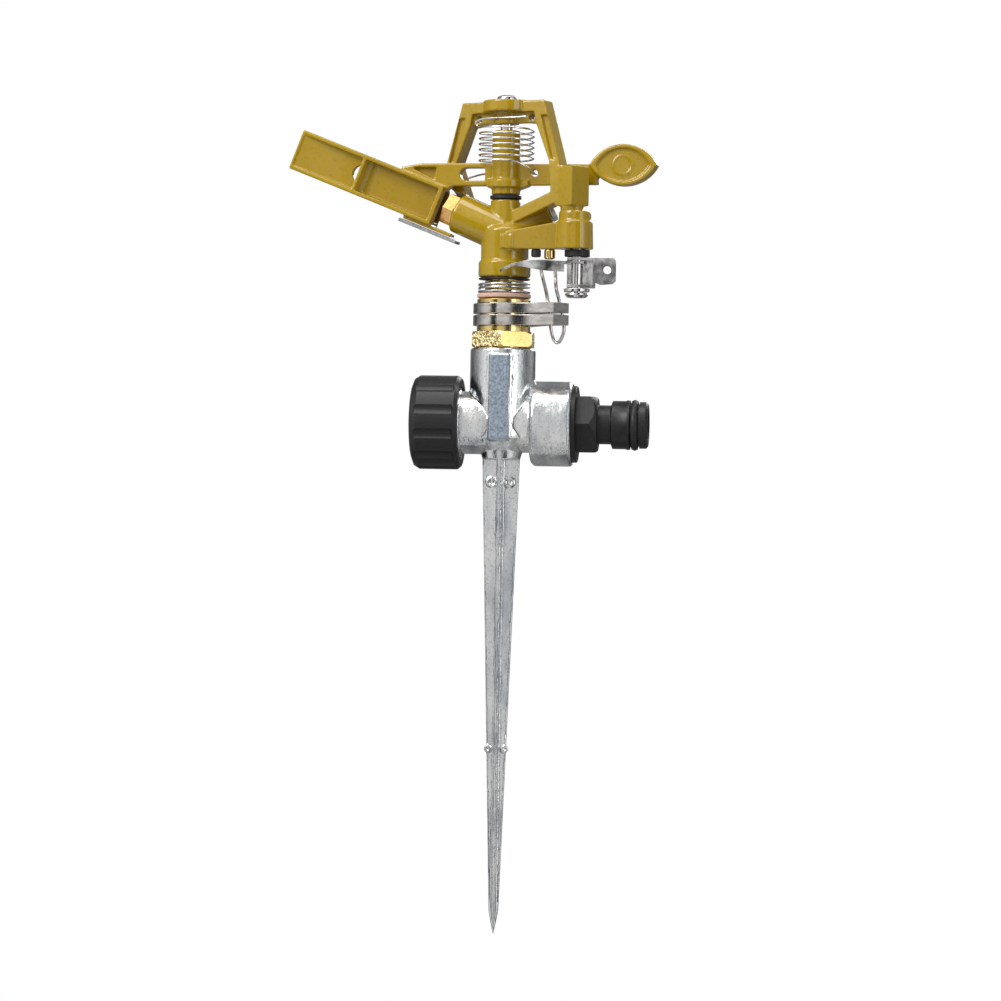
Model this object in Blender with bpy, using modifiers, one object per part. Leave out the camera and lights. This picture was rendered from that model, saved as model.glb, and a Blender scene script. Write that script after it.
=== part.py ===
"""Impact sprinkler on a metal ground spike, as separate named pieces.

Run with: blender --background --python part.py
The file works in millimetres and scales every piece to metres when it is placed.
World frame: origin on the sprinkler's vertical axis, level with the top of the spike; +Z up,
+X towards the hose inlet. The head and the arm are modelled in frames of their own, each turned
about the vertical axis by its angle at rest.
"""

import math

import bpy
import bmesh
from mathutils import Matrix, Vector

MM = 0.001
OBJECT_NAME = "impact_sprinkler"
GAP = 0.3               # clearance between touching pieces
VANE_STEPS = 8
POCKET_STEPS = 5
ROUND = 26              # sides of a large turned piece
SMALL_ROUND = 16        # sides of a small turned piece
SEAM = 0.002            # points closer than this are one point

# Angles at rest about the vertical axis, in degrees from +X
HEAD_ANGLE = -24.0
ARM_ANGLE = -7.0
COLLAR_ANGLE = -34.0
NIPPLE_HEX_ANGLE = 31.5

# Base casting and spike
PORT_Z = 13.0
SOCKET_R = 11.4
SOCKET_Z = (8.0, 39.2)
SPIKE_TIP_Z = -166.0
SPIKE_SHOULDER_Z = -157.5
SPIKE_HALF_WIDTH = (1.7, 6.6)
RIB_HALF = (0.7, 0.95)
BOSS_R = 14.8
BOSS_X = (10.5, 25.1)
STUB_R = 10.95
CAP_THREAD_R = 12.0
WATERWAY_R = 6.0

# Hose adapter and end cap
ADAPTER_BORE_R = 5.2
CAP_R = 16.4
CAP_X = (-31.2, -14.2)
CAP_FLUTES = 12

# Bearing stack, heights on the vertical axis
HEX_ACROSS_FLATS = 21.0
COLLAR_Z = ((46.9, 50.5), (51.1, 54.6))
SEAL_WASHER_Z = (63.1, 63.6)
BORE_R = 3.2

# Head casting
BODY_R = 8.3
SKIRT_R = 9.1
NECK_R = 5.2
BARREL_R = 7.0
BARREL_AXIS_Z = 79.1
BARREL_RISE = 23.6
BARREL_LENGTH = 19.0
BARREL_TURN = 13.0      # the jet leaves just behind the arm's middle plane
BRIDGE_HALF_DEPTH = 3.1
BRIDGE_TOP_Z = 125.3
PIN_R = 2.2

# Impact arm
SPRING_START = 307.0
SPRING_TURNS = -6.27   # left-handed
ARM_HUB_R = 5.0
ARM_HUB_Z = (92.8, 115.2)
BEAM_Z = (95.8, 103.8)
BEAM_HALF = 1.3
BEAM_FRONT = -2.9
SPOON_TILT = 21.45      # slope of the spoon, in degrees
SPOON_Z = 79.4          # where its middle line would meet the vertical axis
SPOON_X = (-80.4, -25.2)    # its ends, along its own slope
SPOON_DEPTH = 6.0
SPOON_HALF = 7.25
VANE_X = (-79.6, -61.0)
TAB_X = -56.3
PLATE = 1.45
LENS_X = 42.0
LENS_Z = 103.0
LENS_HALF = (12.95, 7.25)

# Trip assembly, in the head's frame
TRIP_X = 27.8
TRIP_Y = 2.0
TRIP_BOSS = (27.0, 1.4)
SHAFT_R = 2.0
BLADE_Z = (66.9, 67.9)

PAINT = (0.36, 0.25, 0.02)
BRASS = (0.80, 0.58, 0.20)
STEEL = (0.62, 0.61, 0.60)
ZINC = (0.66, 0.70, 0.74)
BLACK = (0.012, 0.012, 0.014)
FIBRE = (0.72, 0.50, 0.42)


# ---------------------------------------------------------------- scene and frames

def clear_scene():
    for obj in list(bpy.data.objects):
        bpy.data.objects.remove(obj, do_unlink=True)


def new_collection(name):
    group = bpy.data.collections.new(name)
    bpy.context.scene.collection.children.link(group)
    return group


clear_scene()
PARTS = new_collection(OBJECT_NAME)


def pivot(name, angle, place=(0.0, 0.0, 0.0), parent=None):
    """An empty on a joint's axis; what moves with the joint is its child."""
    empty = bpy.data.objects.new(name, None)
    empty.location = Vector(place) * MM
    empty.rotation_euler = (0.0, 0.0, math.radians(angle))
    empty.parent = parent
    PARTS.objects.link(empty)
    return empty


def material(name, colour, roughness, metallic):
    look = bpy.data.materials.new(name)
    look.use_nodes = True
    shader = look.node_tree.nodes["Principled BSDF"]
    shader.inputs["Base Color"].default_value = (*colour, 1.0)
    shader.inputs["Roughness"].default_value = roughness
    shader.inputs["Metallic"].default_value = metallic
    return look


# ---------------------------------------------------------------- working solids, in mm

def work_object(mesh):
    obj = bpy.data.objects.new("work", mesh)
    bpy.context.scene.collection.objects.link(obj)
    return obj


def evaluated_mesh(obj):
    bpy.context.view_layer.update()
    depsgraph = bpy.context.evaluated_depsgraph_get()
    return bpy.data.meshes.new_from_object(obj.evaluated_get(depsgraph))


def weld(mesh, distance):
    """Merges doubled points, which also closes the hairline seams a Boolean can leave."""
    shape = bmesh.new()
    shape.from_mesh(mesh)
    bmesh.ops.remove_doubles(shape, verts=shape.verts, dist=distance)
    bmesh.ops.dissolve_degenerate(shape, edges=shape.edges, dist=distance)
    bmesh.ops.recalc_face_normals(shape, faces=shape.faces)
    shape.to_mesh(mesh)
    shape.free()


def settle(obj):
    """Turns a modified object or a curve into a plain closed mesh in the same place."""
    mesh = evaluated_mesh(obj)
    mesh.transform(obj.matrix_world)
    weld(mesh, 0.0001)
    bpy.data.objects.remove(obj, do_unlink=True)
    return work_object(mesh)


def move(obj, matrix):
    obj.data.transform(matrix)
    return obj


def shift(obj, x=0.0, y=0.0, z=0.0):
    return move(obj, Matrix.Translation((x, y, z)))


def turn(obj, degrees, axis="Z"):
    return move(obj, Matrix.Rotation(math.radians(degrees), 4, axis))


def box(low, high):
    bpy.ops.mesh.primitive_cube_add(size=1.0)
    obj = bpy.context.object
    size = [b - a for a, b in zip(low, high)]
    middle = [(a + b) / 2 for a, b in zip(low, high)]
    return move(obj, Matrix.Translation(middle) @ Matrix.Diagonal((*size, 1.0)))


def turned(profile, steps=ROUND):
    """A solid of revolution about Z; the profile lists (radius, z) from top to bottom."""
    mesh = bpy.data.meshes.new("profile")
    points = [(r, 0.0, z) for r, z in profile]
    last = len(points) - 1
    edges = [(i, i + 1) for i in range(last)]
    if profile[0][0] > 0.0 or profile[-1][0] > 0.0:
        edges.append((last, 0))
    mesh.from_pydata(points, edges, [])
    obj = work_object(mesh)
    screw = obj.modifiers.new("Screw", "SCREW")
    screw.steps = steps
    screw.render_steps = steps
    screw.use_merge_vertices = True
    screw.merge_threshold = 0.0001
    return settle(obj)


def rod(radius, low, high, steps=ROUND, chamfer=0.0):
    c = chamfer
    profile = [(0.0, high), (radius - c, high), (radius, high - c),
               (radius, low + c), (radius - c, low), (0.0, low)]
    if c == 0.0:
        profile = [(0.0, high), (radius, high), (radius, low), (0.0, low)]
    return turned(profile, steps)


def ring(inner, outer, low, high, steps=ROUND, chamfer=0.0):
    c = chamfer
    profile = [(inner, high), (outer - c, high), (outer, high - c),
               (outer, low + c), (outer - c, low), (inner, low)]
    if c == 0.0:
        profile = [(inner, high), (outer, high), (outer, low), (inner, low)]
    return turned(profile, steps)


def along_x(obj):
    """Turns a piece made about Z so that its +Z runs along +X, at the ports' height."""
    return shift(turn(obj, 90.0, "Y"), z=PORT_Z)


def arc(cx, cy, radius, start, end, count):
    angles = [math.radians(start + (end - start) * i / (count - 1)) for i in range(count)]
    return [(cx + radius * math.cos(a), cy + radius * math.sin(a)) for a in angles]


def flat(outlines, low, high):
    """A flat plate in XY from one or more closed outlines (the later ones are holes)."""
    curve = bpy.data.curves.new("outline", "CURVE")
    curve.dimensions = "2D"
    curve.fill_mode = "BOTH"
    curve.extrude = (high - low) / 2
    for outline in outlines:
        spline = curve.splines.new("POLY")
        spline.points.add(len(outline) - 1)
        spline.use_cyclic_u = True
        for point, (x, y) in zip(spline.points, outline):
            point.co = (x, y, 0.0, 1.0)
    obj = bpy.data.objects.new("outline", curve)
    bpy.context.scene.collection.objects.link(obj)
    return shift(settle(obj), z=(low + high) / 2)


def upright(outlines, front, back):
    """A plate standing in the XZ plane, its outlines in (x, z), between y=front and y=back."""
    return turn(flat(outlines, -back, -front), 90.0, "X")


def prism(sides, across_flats, low, high, angle=0.0):
    radius = across_flats / 2 / math.cos(math.pi / sides)
    outline = arc(0.0, 0.0, radius, angle, angle + 360.0 * (sides - 1) / sides, sides)
    return flat([outline], low, high)


def wire(points, radius, closed=False):
    curve = bpy.data.curves.new("wire", "CURVE")
    curve.dimensions = "3D"
    curve.bevel_depth = radius
    curve.bevel_resolution = 2
    curve.use_fill_caps = not closed
    spline = curve.splines.new("POLY")
    spline.points.add(len(points) - 1)
    spline.use_cyclic_u = closed
    for point, place in zip(spline.points, points):
        point.co = (*place, 1.0)
    obj = bpy.data.objects.new("wire", curve)
    bpy.context.scene.collection.objects.link(obj)
    return settle(obj)


def smooth_path(points, per_span):
    """Points on a Catmull-Rom curve through the given ones."""
    knots = [Vector(p) for p in points]
    knots = [2 * knots[0] - knots[1]] + knots + [2 * knots[-1] - knots[-2]]
    path = []
    for a, b, c, d in zip(knots, knots[1:], knots[2:], knots[3:]):
        for i in range(per_span):
            t = i / per_span
            path.append(0.5 * (2 * b + (c - a) * t + (2 * a - 5 * b + 4 * c - d) * t ** 2
                               + (3 * b - a - 3 * c + d) * t ** 3))
    path.append(knots[-2])
    return path


def helix(radius, low, high, turns, start, per_turn):
    count = int(abs(turns) * per_turn)
    path = []
    for i in range(count + 1):
        t = i / count
        angle = math.radians(start) + 2 * math.pi * turns * t
        path.append((radius * math.cos(angle), radius * math.sin(angle), low + (high - low) * t))
    return path


def combine(obj, others, operation):
    for other in others:
        step = obj.modifiers.new("Boolean", "BOOLEAN")
        step.operation = operation
        step.solver = "EXACT"
        step.object = other
        mesh = evaluated_mesh(obj)
        weld(mesh, SEAM)
        obj.modifiers.clear()
        obj.data = mesh
        bpy.data.objects.remove(other, do_unlink=True)
    return obj


def union(obj, *others):
    return combine(obj, others, "UNION")


def cut(obj, *others):
    return combine(obj, others, "DIFFERENCE")


def piece(name, obj, look, parent=None, origin=(0.0, 0.0, 0.0)):
    """Names a finished solid, scales it to metres and hangs it on its pivot."""
    move(obj, Matrix.Scale(MM, 4) @ Matrix.Translation(-Vector(origin)))
    obj.location = Vector(origin) * MM
    obj.name = name
    obj.data.name = name
    for group in list(obj.users_collection):
        group.objects.unlink(obj)
    PARTS.objects.link(obj)
    obj.parent = parent
    colour, roughness, metallic = look
    obj.data.materials.clear()
    obj.data.materials.append(material(name, colour, roughness, metallic))
    obj.data.shade_smooth()
    obj.data.set_sharp_from_angle(angle=math.radians(35.0))
    return obj


PAINTED = (PAINT, 0.22, 0.0)
BRASSY = (BRASS, 0.28, 1.0)
STEELY = (STEEL, 0.25, 1.0)
ZINCY = (ZINC, 0.38, 1.0)
PLASTIC = (BLACK, 0.42, 0.0)
RUBBER = (BLACK, 0.7, 0.0)


# ---------------------------------------------------------------- base

def spike_rib(lift):
    """One tapered web of the cross-shaped spike, wide at the top and pointed at the tip."""
    tip_half, top_half = SPIKE_HALF_WIDTH
    tip_thick, top_thick = RIB_HALF
    sections = [(SPIKE_TIP_Z + lift, 0.15, 0.1), (SPIKE_SHOULDER_Z, tip_half, tip_thick),
                (2.0 + lift, top_half, top_thick)]
    mesh = bmesh.new()
    rings = []
    for z, half, thick in sections:
        corners = [(-half, -thick), (half, -thick), (half, thick), (-half, thick)]
        rings.append([mesh.verts.new((x, y, z)) for x, y in corners])
    mesh.faces.new(rings[0])
    mesh.faces.new(rings[-1])
    for lower, upper in zip(rings, rings[1:]):
        for i in range(4):
            j = (i + 1) % 4
            mesh.faces.new((lower[i], lower[j], upper[j], upper[i]))
    bmesh.ops.recalc_face_normals(mesh, faces=mesh.faces)
    data = bpy.data.meshes.new("rib")
    mesh.to_mesh(data)
    mesh.free()
    return work_object(data)


def base_casting():
    socket_low, socket_high = SOCKET_Z
    socket = turned([(0.0, socket_high), (SOCKET_R - 0.7, socket_high),
                     (SOCKET_R, socket_high - 0.7), (SOCKET_R, socket_low),
                     (7.4, 3.4), (6.6, 0.4), (0.0, 0.4)])
    boss_low, boss_high = BOSS_X
    ports = along_x(turned([(0.0, boss_high), (BOSS_R - 0.8, boss_high),
                            (BOSS_R, boss_high - 0.8), (BOSS_R, boss_low + 1.2),
                            (BOSS_R - 1.2, boss_low), (10.2, boss_low), (10.2, 0.0),
                            (STUB_R, -0.5), (STUB_R, -14.6), (12.3, -14.6), (12.3, -16.2),
                            (CAP_THREAD_R, -16.2), (CAP_THREAD_R, -23.8),
                            (CAP_THREAD_R - 0.6, -24.4), (0.0, -24.4)]))
    pad = flat([[(-3.45, -12.1), (3.45, -12.1), (3.45, -6.0), (-3.45, -6.0)]], 6.9, 36.7)
    body = union(socket, ports, pad, spike_rib(0.0), turn(spike_rib(0.6), 90.0))
    for z, radius in ((-7.6, 1.85), (-100.8, 1.3)):
        for side in (-1, 1):
            mark = turn(ring(radius - 0.7, radius, 0.0, 1.3, 12), 90.0, "X")
            body = union(body, shift(mark, x=side * 3.0, z=z))
    well = rod(WATERWAY_R, PORT_Z, 30.0)
    nipple_bore = rod(8.6, 27.8, socket_high + 1.0)
    channel = along_x(rod(7.4, -27.0, 15.0))
    adapter_bore = along_x(rod(10.4, 13.6, 24.0))
    gasket_seat = along_x(rod(13.7, 22.0, boss_high + 1.0))
    body = cut(body, well, nipple_bore, channel, adapter_bore, gasket_seat)
    return piece("base_casting", body, ZINCY)


def hose_adapter():
    thread_end = 13.9
    nose = [(ADAPTER_BORE_R, 51.3), (7.4, 51.3), (8.15, 50.6), (8.15, 48.3), (7.2, 48.3),
            (7.2, 45.0), (8.65, 45.0), (8.65, 43.9), (8.4, 43.4), (8.4, 38.9), (6.8, 38.3),
            (6.8, 33.5), (9.2, 32.0), (9.2, 26.6), (13.2, 26.6), (13.4, 26.4), (13.4, 24.2),
            (10.1, 24.2), (10.1, thread_end), (ADAPTER_BORE_R, thread_end)]
    body = along_x(turned(nose))
    hexagon = shift(turn(prism(6, 19.4, 25.4, 33.8, 30.0), 90.0, "Y"), z=PORT_Z)
    cone = along_x(turned([(0.0, 34.0), (9.0, 34.0), (11.4, 31.0), (11.4, 25.0), (0.0, 25.0)]))
    hexagon = combine(hexagon, [cone], "INTERSECT")
    hexagon = cut(hexagon, along_x(rod(ADAPTER_BORE_R + 0.6, 20.0, 40.0)))
    piece("hose_adapter", union(body, hexagon), PLASTIC)
    seal = along_x(ring(10.4, 13.3, 22.4, 23.9))
    piece("adapter_gasket", seal, RUBBER)
    oring = along_x(turned([(7.5, 47.9), (8.5, 47.7), (8.95, 46.7), (8.5, 45.6),
                            (7.5, 45.3)]))
    piece("nose_o_ring", oring, RUBBER)


def end_cap(pivot_gasket, pivot_cap):
    left, right = CAP_X
    shell = [(0.0, right), (CAP_R - 1.0, right), (CAP_R, right - 1.2), (CAP_R, left + 2.6),
             (CAP_R - 1.1, left + 0.8), (CAP_R - 3.2, left), (0.0, left)]
    body = along_x(turned(shell, 48))
    hollow = along_x(rod(CAP_THREAD_R + 0.6, left + 3.4, right + 1.0, 36))
    body = cut(body, hollow)
    for i in range(CAP_FLUTES):
        groove = shift(rod(2.65, -3.0, 12.2, 12), x=CAP_R + 1.9)
        groove = turn(groove, 360.0 * (i + 0.5) / CAP_FLUTES)
        body = cut(body, shift(turn(groove, 90.0, "Y"), x=left + 4.0, z=PORT_Z))
    piece("end_cap", body, PLASTIC, pivot_cap, (0.0, 0.0, PORT_Z))
    gasket = along_x(ring(5.0, 11.8, left + 3.8, left + 6.2))
    piece("cap_gasket", gasket, RUBBER, pivot_gasket, (0.0, 0.0, PORT_Z))


# ---------------------------------------------------------------- bearing stack

def bearing_nipple():
    body = turned([(5.2, 56.4), (8.9, 56.4), (9.35, 56.0), (9.35, 54.9), (8.5, 54.8),
                   (8.5, 46.7), (9.35, 46.6), (9.35, 44.9), (8.3, 44.8), (8.3, 28.6),
                   (7.2, 28.2), (7.2, 34.5), (5.2, 34.5)])
    nut = prism(6, HEX_ACROSS_FLATS, 39.5, 44.8, NIPPLE_HEX_ANGLE)
    limit = turned([(0.0, 45.0), (10.9, 45.0), (12.2, 43.6), (12.2, 40.5), (11.2, 39.0),
                    (0.0, 39.0)], 36)
    nut = combine(nut, [limit], "INTERSECT")
    nut = cut(nut, rod(6.5, 38.0, 46.0))
    piece("bearing_nipple", union(body, nut), BRASSY)


def collar_outline(inner):
    """Teardrop round the nipple: an arc that runs straight into the two ears."""
    if inner:
        return arc(0.0, 0.0, 8.9, 18.0, 342.0, 28) + [(17.5, -1.3), (20.8, -1.3),
                                                     (20.8, 1.3), (17.5, 1.3)]
    reach = 25.8
    return arc(0.0, 0.0, 10.7, 48.0, 312.0, 28) + [(15.6, -4.3), (reach, -4.3),
                                                 (reach, 4.3), (15.6, 4.3)]


def collars(pivots):
    for name, (low, high), axis in zip(("lower", "upper"), COLLAR_Z, pivots):
        strap = flat([collar_outline(False), collar_outline(True)], low, high)
        piece("collar_" + name, strap, STEELY, axis)


def bearing_stack(head):
    piece("fibre_washer", ring(7.4, 9.4, 56.7, 58.2, chamfer=0.3), (FIBRE, 0.7, 0.0), head)
    piece("steel_washer", ring(7.4, 9.2, 58.5, 59.2), STEELY, head)
    coil = wire(helix(8.75, 60.0, 62.3, 1.9, 200.0, 20), 0.42)
    piece("bearing_spring", coil, STEELY, head)
    piece("seal_washer", ring(5.9, 9.0, *SEAL_WASHER_Z), RUBBER, head)
    sleeve = turned([(BORE_R, 70.5), (5.5, 70.5), (5.5, 62.8), (6.2, 62.8), (6.2, 57.2),
                     (4.8, 56.9), (4.8, 32.2), (6.7, 32.2), (6.7, 30.0), (BORE_R, 30.0)],
                    SMALL_ROUND)
    nut = cut(prism(6, 12.2, 57.1, 62.8, 12.0), rod(4.0, 50.0, 70.0))
    piece("bearing_sleeve", union(sleeve, nut), BRASSY, head)
    piece("sleeve_seal", ring(5.3, 6.9, 32.6, 34.1), RUBBER, head)


# ---------------------------------------------------------------- head

def along_barrel(obj):
    """Carries a piece made about Z to the barrel's rising axis, mouth outwards."""
    turn(obj, -(90.0 - BARREL_RISE), "Y")
    return turn(shift(obj, z=BARREL_AXIS_Z), BARREL_TURN)


def bridge():
    top = BRIDGE_TOP_Z
    inner_top = 117.6
    outer = [(-16.4, top), (16.4, top), (22.6, 104.0), (25.0, 92.6), (21.4, 89.4),
             (4.0, 82.4), (0.0, 82.4), (0.0, 86.6), (3.0, 86.6), (19.4, 93.2), (18.6, 104.0),
             (13.6, inner_top - 1.2), (12.4, inner_top), (-12.4, inner_top),
             (-13.6, inner_top - 1.2), (-18.6, 104.0), (-14.0, 91.5), (-10.0, 87.0),
             (-14.0, 84.6), (-19.8, 92.2), (-22.6, 104.0)]
    frame = upright([outer], -BRIDGE_HALF_DEPTH, BRIDGE_HALF_DEPTH)
    window = upright([[(-9.0, inner_top - 1.0), (9.0, inner_top - 1.0), (9.0, 121.4),
                       (-9.0, 121.4)]], 1.2, 6.0)
    front = upright([[(-13.2, inner_top - 1.0), (13.2, inner_top - 1.0), (12.4, 121.4),
                      (-12.4, 121.4)]], -6.0, -1.2)
    boss = rod(8.4, 121.6, top + 0.3, 24)
    sleeve = rod(4.4, 117.4, 124.0, SMALL_ROUND)
    frame = cut(frame, window, front)
    frame = union(frame, boss, sleeve)
    for side in (-1, 1):
        recess = upright([[(side * 15.2, 120.0), (side * 17.7, 120.0), (side * 21.6, 104.4),
                           (side * 19.5, 104.4)]], -6.0, -1.9)
        hole = turn(rod(1.2, -4.0, 4.0, 10), 90.0, "X")
        frame = cut(frame, recess, shift(hole, x=side * 10.6, z=119.5))
    return frame


def trip_bracket():
    """The arm that carries the trip's shaft in front of the body, and the block above it."""
    length = 24.0
    side = [(0.0, 73.4), (length, 73.4), (length, 83.6), (18.5, 82.9), (0.8, 79.5),
            (0.0, 78.7)]
    bar = upright([side], -2.2, 2.2)
    bar = shift(turn(bar, 22.2), x=4.2, y=-7.0)
    x, y = TRIP_BOSS
    boss = turned([(0.0, 86.5), (5.2, 86.5), (5.6, 86.1), (5.7, 83.2), (6.2, 82.8),
                   (6.5, 73.4), (0.0, 73.4)], 24)
    root = box((3.2, -8.6, 73.7), (7.6, -2.0, 78.3))
    return union(bar, shift(boss, x=x, y=y), root)


def trip_block():
    block = box((-4.2, -4.2, 88.2), (4.2, 4.2, 101.9))
    foot = rod(4.0, 86.9, 89.0, SMALL_ROUND)
    block = turn(union(block, foot), -20.0)
    return shift(block, x=TRIP_BOSS[0] - 0.4, y=TRIP_BOSS[1] - 1.6)


def head_casting(head):
    body = turned([(0.0, 91.0), (NECK_R - 0.4, 91.0), (NECK_R, 90.6), (NECK_R, 83.0),
                   (BODY_R - 0.6, 81.2), (BODY_R, 80.4), (BODY_R, 69.8), (SKIRT_R, 69.2),
                   (SKIRT_R, 64.4), (SKIRT_R - 0.5, 63.9), (0.0, 63.9)])
    barrel = along_barrel(rod(BARREL_R, 0.0, BARREL_LENGTH, 24, 0.5))
    plug_boss = shift(turn(rod(5.6, 0.0, 17.0, SMALL_ROUND, 0.5), 62.0, "Y"), z=78.5)
    plug_boss = turn(plug_boss, 34.0)
    body = union(body, barrel, plug_boss, bridge(), trip_bracket(), trip_block())
    well = rod(6.2, 62.0, 72.0, SMALL_ROUND)
    riser = rod(4.2, 71.0, 79.5, SMALL_ROUND)
    waterway = along_barrel(rod(4.2, 0.0, 30.0, SMALL_ROUND))
    nozzle_seat = along_barrel(rod(4.9, 12.0, 30.0, SMALL_ROUND))
    nut_room = along_barrel(rod(6.7, BARREL_LENGTH, 28.0, SMALL_ROUND))
    shaft_hole = rod(SHAFT_R + GAP, 70.0, 84.0, SMALL_ROUND)
    shaft_hole = shift(shaft_hole, x=TRIP_X, y=TRIP_Y)
    pin_hole = rod(PIN_R + GAP, 84.5, 130.0, SMALL_ROUND)
    body = cut(body, well, riser, waterway, nozzle_seat, nut_room, shaft_hole, pin_hole)
    piece("head_casting", body, PAINTED, head)


def head_fittings(head):
    nozzle = along_barrel(turned([(2.4, 23.5), (4.2, 23.5), (4.2, 20.0), (4.6, 18.6),
                                  (4.6, 12.4), (3.2, 12.4)], SMALL_ROUND))
    nut = along_barrel(cut(prism(6, 10.5, 19.3, 23.2, 30.0), rod(3.6, 18.0, 26.0, 12)))
    piece("main_nozzle", union(nozzle, nut), BRASSY, head)
    plug = shift(turn(rod(3.4, 17.3, 19.4, 6, 0.3), 62.0, "Y"), z=78.5)
    piece("rear_plug", turn(plug, 34.0), STEELY, head)
    pin = turned([(0.0, 127.6), (2.4, 127.5), (3.4, 127.0), (3.65, 126.2), (3.65, 125.9),
                  (PIN_R, 125.9), (PIN_R, 85.0), (0.0, 85.0)], SMALL_ROUND)
    piece("pivot_pin", pin, STEELY, head)
    piece("arm_lower_washer", ring(2.6, 5.5, 91.3, 92.5, SMALL_ROUND), RUBBER, head)


# ---------------------------------------------------------------- impact arm

def spoon_point(along, across):
    """Where a point of the spoon's own axes lies in the arm's (x, z) plane."""
    tilt = math.radians(SPOON_TILT)
    return (along * math.cos(tilt) + across * math.sin(tilt),
            SPOON_Z - along * math.sin(tilt) + across * math.cos(tilt))


def tilted(obj):
    """Carries a piece modelled along the spoon's own axes to its slope on the arm."""
    return shift(turn(obj, SPOON_TILT, "Y"), z=SPOON_Z)


def vane_face(depth):
    """Plan of the long vane that turns the jet aside: it sinks in a curve towards the tab."""
    points = []
    for i in range(VANE_STEPS + 1):
        along = VANE_X[0] + (VANE_X[1] - VANE_X[0]) * i / VANE_STEPS
        share = (along - VANE_X[1]) / (VANE_X[0] - VANE_X[1])
        points.append((along, depth - 2.2 * share ** 2))
    return points


def spoon():
    """Two-chambered spoon: a pocket and a vane in front, the jet's channel behind them."""
    left, right = SPOON_X
    half = SPOON_HALF
    inner = half - PLATE
    whole = box((left, -SPOON_DEPTH, -half), (right, SPOON_DEPTH, half))
    pad = box((-35.5, -4.0, -half - 1.2), (right, 4.0, -half + 0.3))
    tongue = box((right - 1.5, -4.0, -half - 1.2), (-17.0, 4.0, -half))
    whole = union(whole, pad, tongue)
    corner = arc(-50.2, -7.0, 5.0, 180.0, 90.0, POCKET_STEPS)
    pocket = [(-55.2, -9.0)] + corner + [(-26.8, -2.0), (-26.8, -9.0)]
    hollow = [(VANE_X[0], -9.0)] + vane_face(-3.5) + [(TAB_X, -3.5), (TAB_X, -9.0)]
    rear = [(-78.8, 9.0)] + vane_face(-1.7)[1:] + [(-57.0, -1.7), (-57.0, -0.7), (-20.0, -0.7),
                                                (-20.0, 4.8), (-38.1, 4.8), (-38.1, 9.0)]
    for outline in (pocket, hollow, rear):
        whole = cut(whole, flat([outline], -inner, inner))
    jet_hole = shift(turn(rod(3.3, -9.0, 9.0, SMALL_ROUND), 90.0, "X"), x=-55.2, z=0.2)
    left_part = box((-62.0, -10.0, -6.0), (TAB_X - 0.02, 10.0, 6.0))
    whole = cut(whole, combine(jet_hole, [left_part], "INTERSECT"))
    leg_room = box((-21.6, 1.6, 78.0), (-16.0, 9.0, 104.0))
    return cut(tilted(whole), leg_room)


def lens_outline(scale=1.0):
    half_x, half_z = (LENS_HALF[0] - 1.0) * scale, LENS_HALF[1] * scale
    radius = (half_x ** 2 + half_z ** 2) / (2 * half_z)
    spread = math.degrees(math.asin(half_x / radius))
    upper = arc(0.0, half_z - radius, radius, 90.0 - spread, 90.0 + spread, 13)
    lower = arc(0.0, radius - half_z, radius, 270.0 - spread, 270.0 + spread, 13)
    points = upper[:-1] + lower[:-1]
    return [(LENS_X + x, LENS_Z + z) for x, z in points]


def lens():
    disc = upright([lens_outline()], -3.0, 3.0)
    disc = cut(disc, upright([lens_outline(0.8)], -6.0, -2.0))
    mark = turn(ring(3.1, 3.7, 1.6, 2.4, 20), 90.0, "X")
    return union(disc, shift(mark, x=LENS_X, z=LENS_Z))


def impact_arm(arm):
    low, high = BEAM_Z
    hub = turned([(0.0, ARM_HUB_Z[1]), (ARM_HUB_R, ARM_HUB_Z[1]), (ARM_HUB_R, ARM_HUB_Z[0]),
                  (0.0, ARM_HUB_Z[0])], 24)
    left_joint = spoon_point(-42.0, SPOON_HALF - 0.8)
    right_joint = spoon_point(-27.0, SPOON_HALF - 0.8)
    left_end = [(-30.0, high), (-37.0, 102.6), left_joint, right_joint, (-21.6, low - 1.9)]
    beam = upright([left_end + [(-18.6, low), (33.0, low + 0.4), (33.0, high - 0.4)]],
                   -BEAM_HALF, BEAM_HALF)
    thick = upright([left_end + [(-18.6, low), (-4.0, low), (-4.0, high)]], BEAM_FRONT, 0.0)
    hook_slot = arc(-13.8, 99.9, 2.2, 270.0, 90.0, 9) + [(-7.0, 102.1), (-7.0, 97.7)]
    recess = [(-34.0, 102.5), (-24.4, 102.4), (-25.2, 98.2)]
    hollows = upright([hook_slot], -9.0, 9.0)
    anchor = shift(turn(rod(1.2, -4.0, 4.0, SMALL_ROUND), 90.0, "X"), x=10.4, z=100.3)
    recess = upright([recess], -9.0, -0.9)
    belly = upright([[(4.0, low - 1.6), (8.5, low), (8.5, low + 1.8), (4.0, low + 1.8)]],
                    -BEAM_HALF - 1.0, BEAM_HALF + 1.0)
    collar = rod(6.4, low - 0.6, low + 2.2, 24)
    body = union(hub, beam, thick, belly, collar, spoon(), lens())
    bush_bore = rod(3.4, 90.0, 120.0, SMALL_ROUND)
    body = cut(body, hollows, recess, anchor, bush_bore)
    piece("impact_arm", body, PAINTED, arm)


def arm_fittings(arm):
    bush = ring(2.5, 3.1, ARM_HUB_Z[0] + 0.2, ARM_HUB_Z[1] - 0.2, SMALL_ROUND)
    piece("arm_bush", bush, BRASSY, arm)
    below = -SPOON_HALF - 1.2 - GAP
    strip = tilted(box((-36.9, -3.6, below - 1.2), (-14.7, 3.6, below)))
    piece("wear_strip", strip, STEELY, arm)


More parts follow.
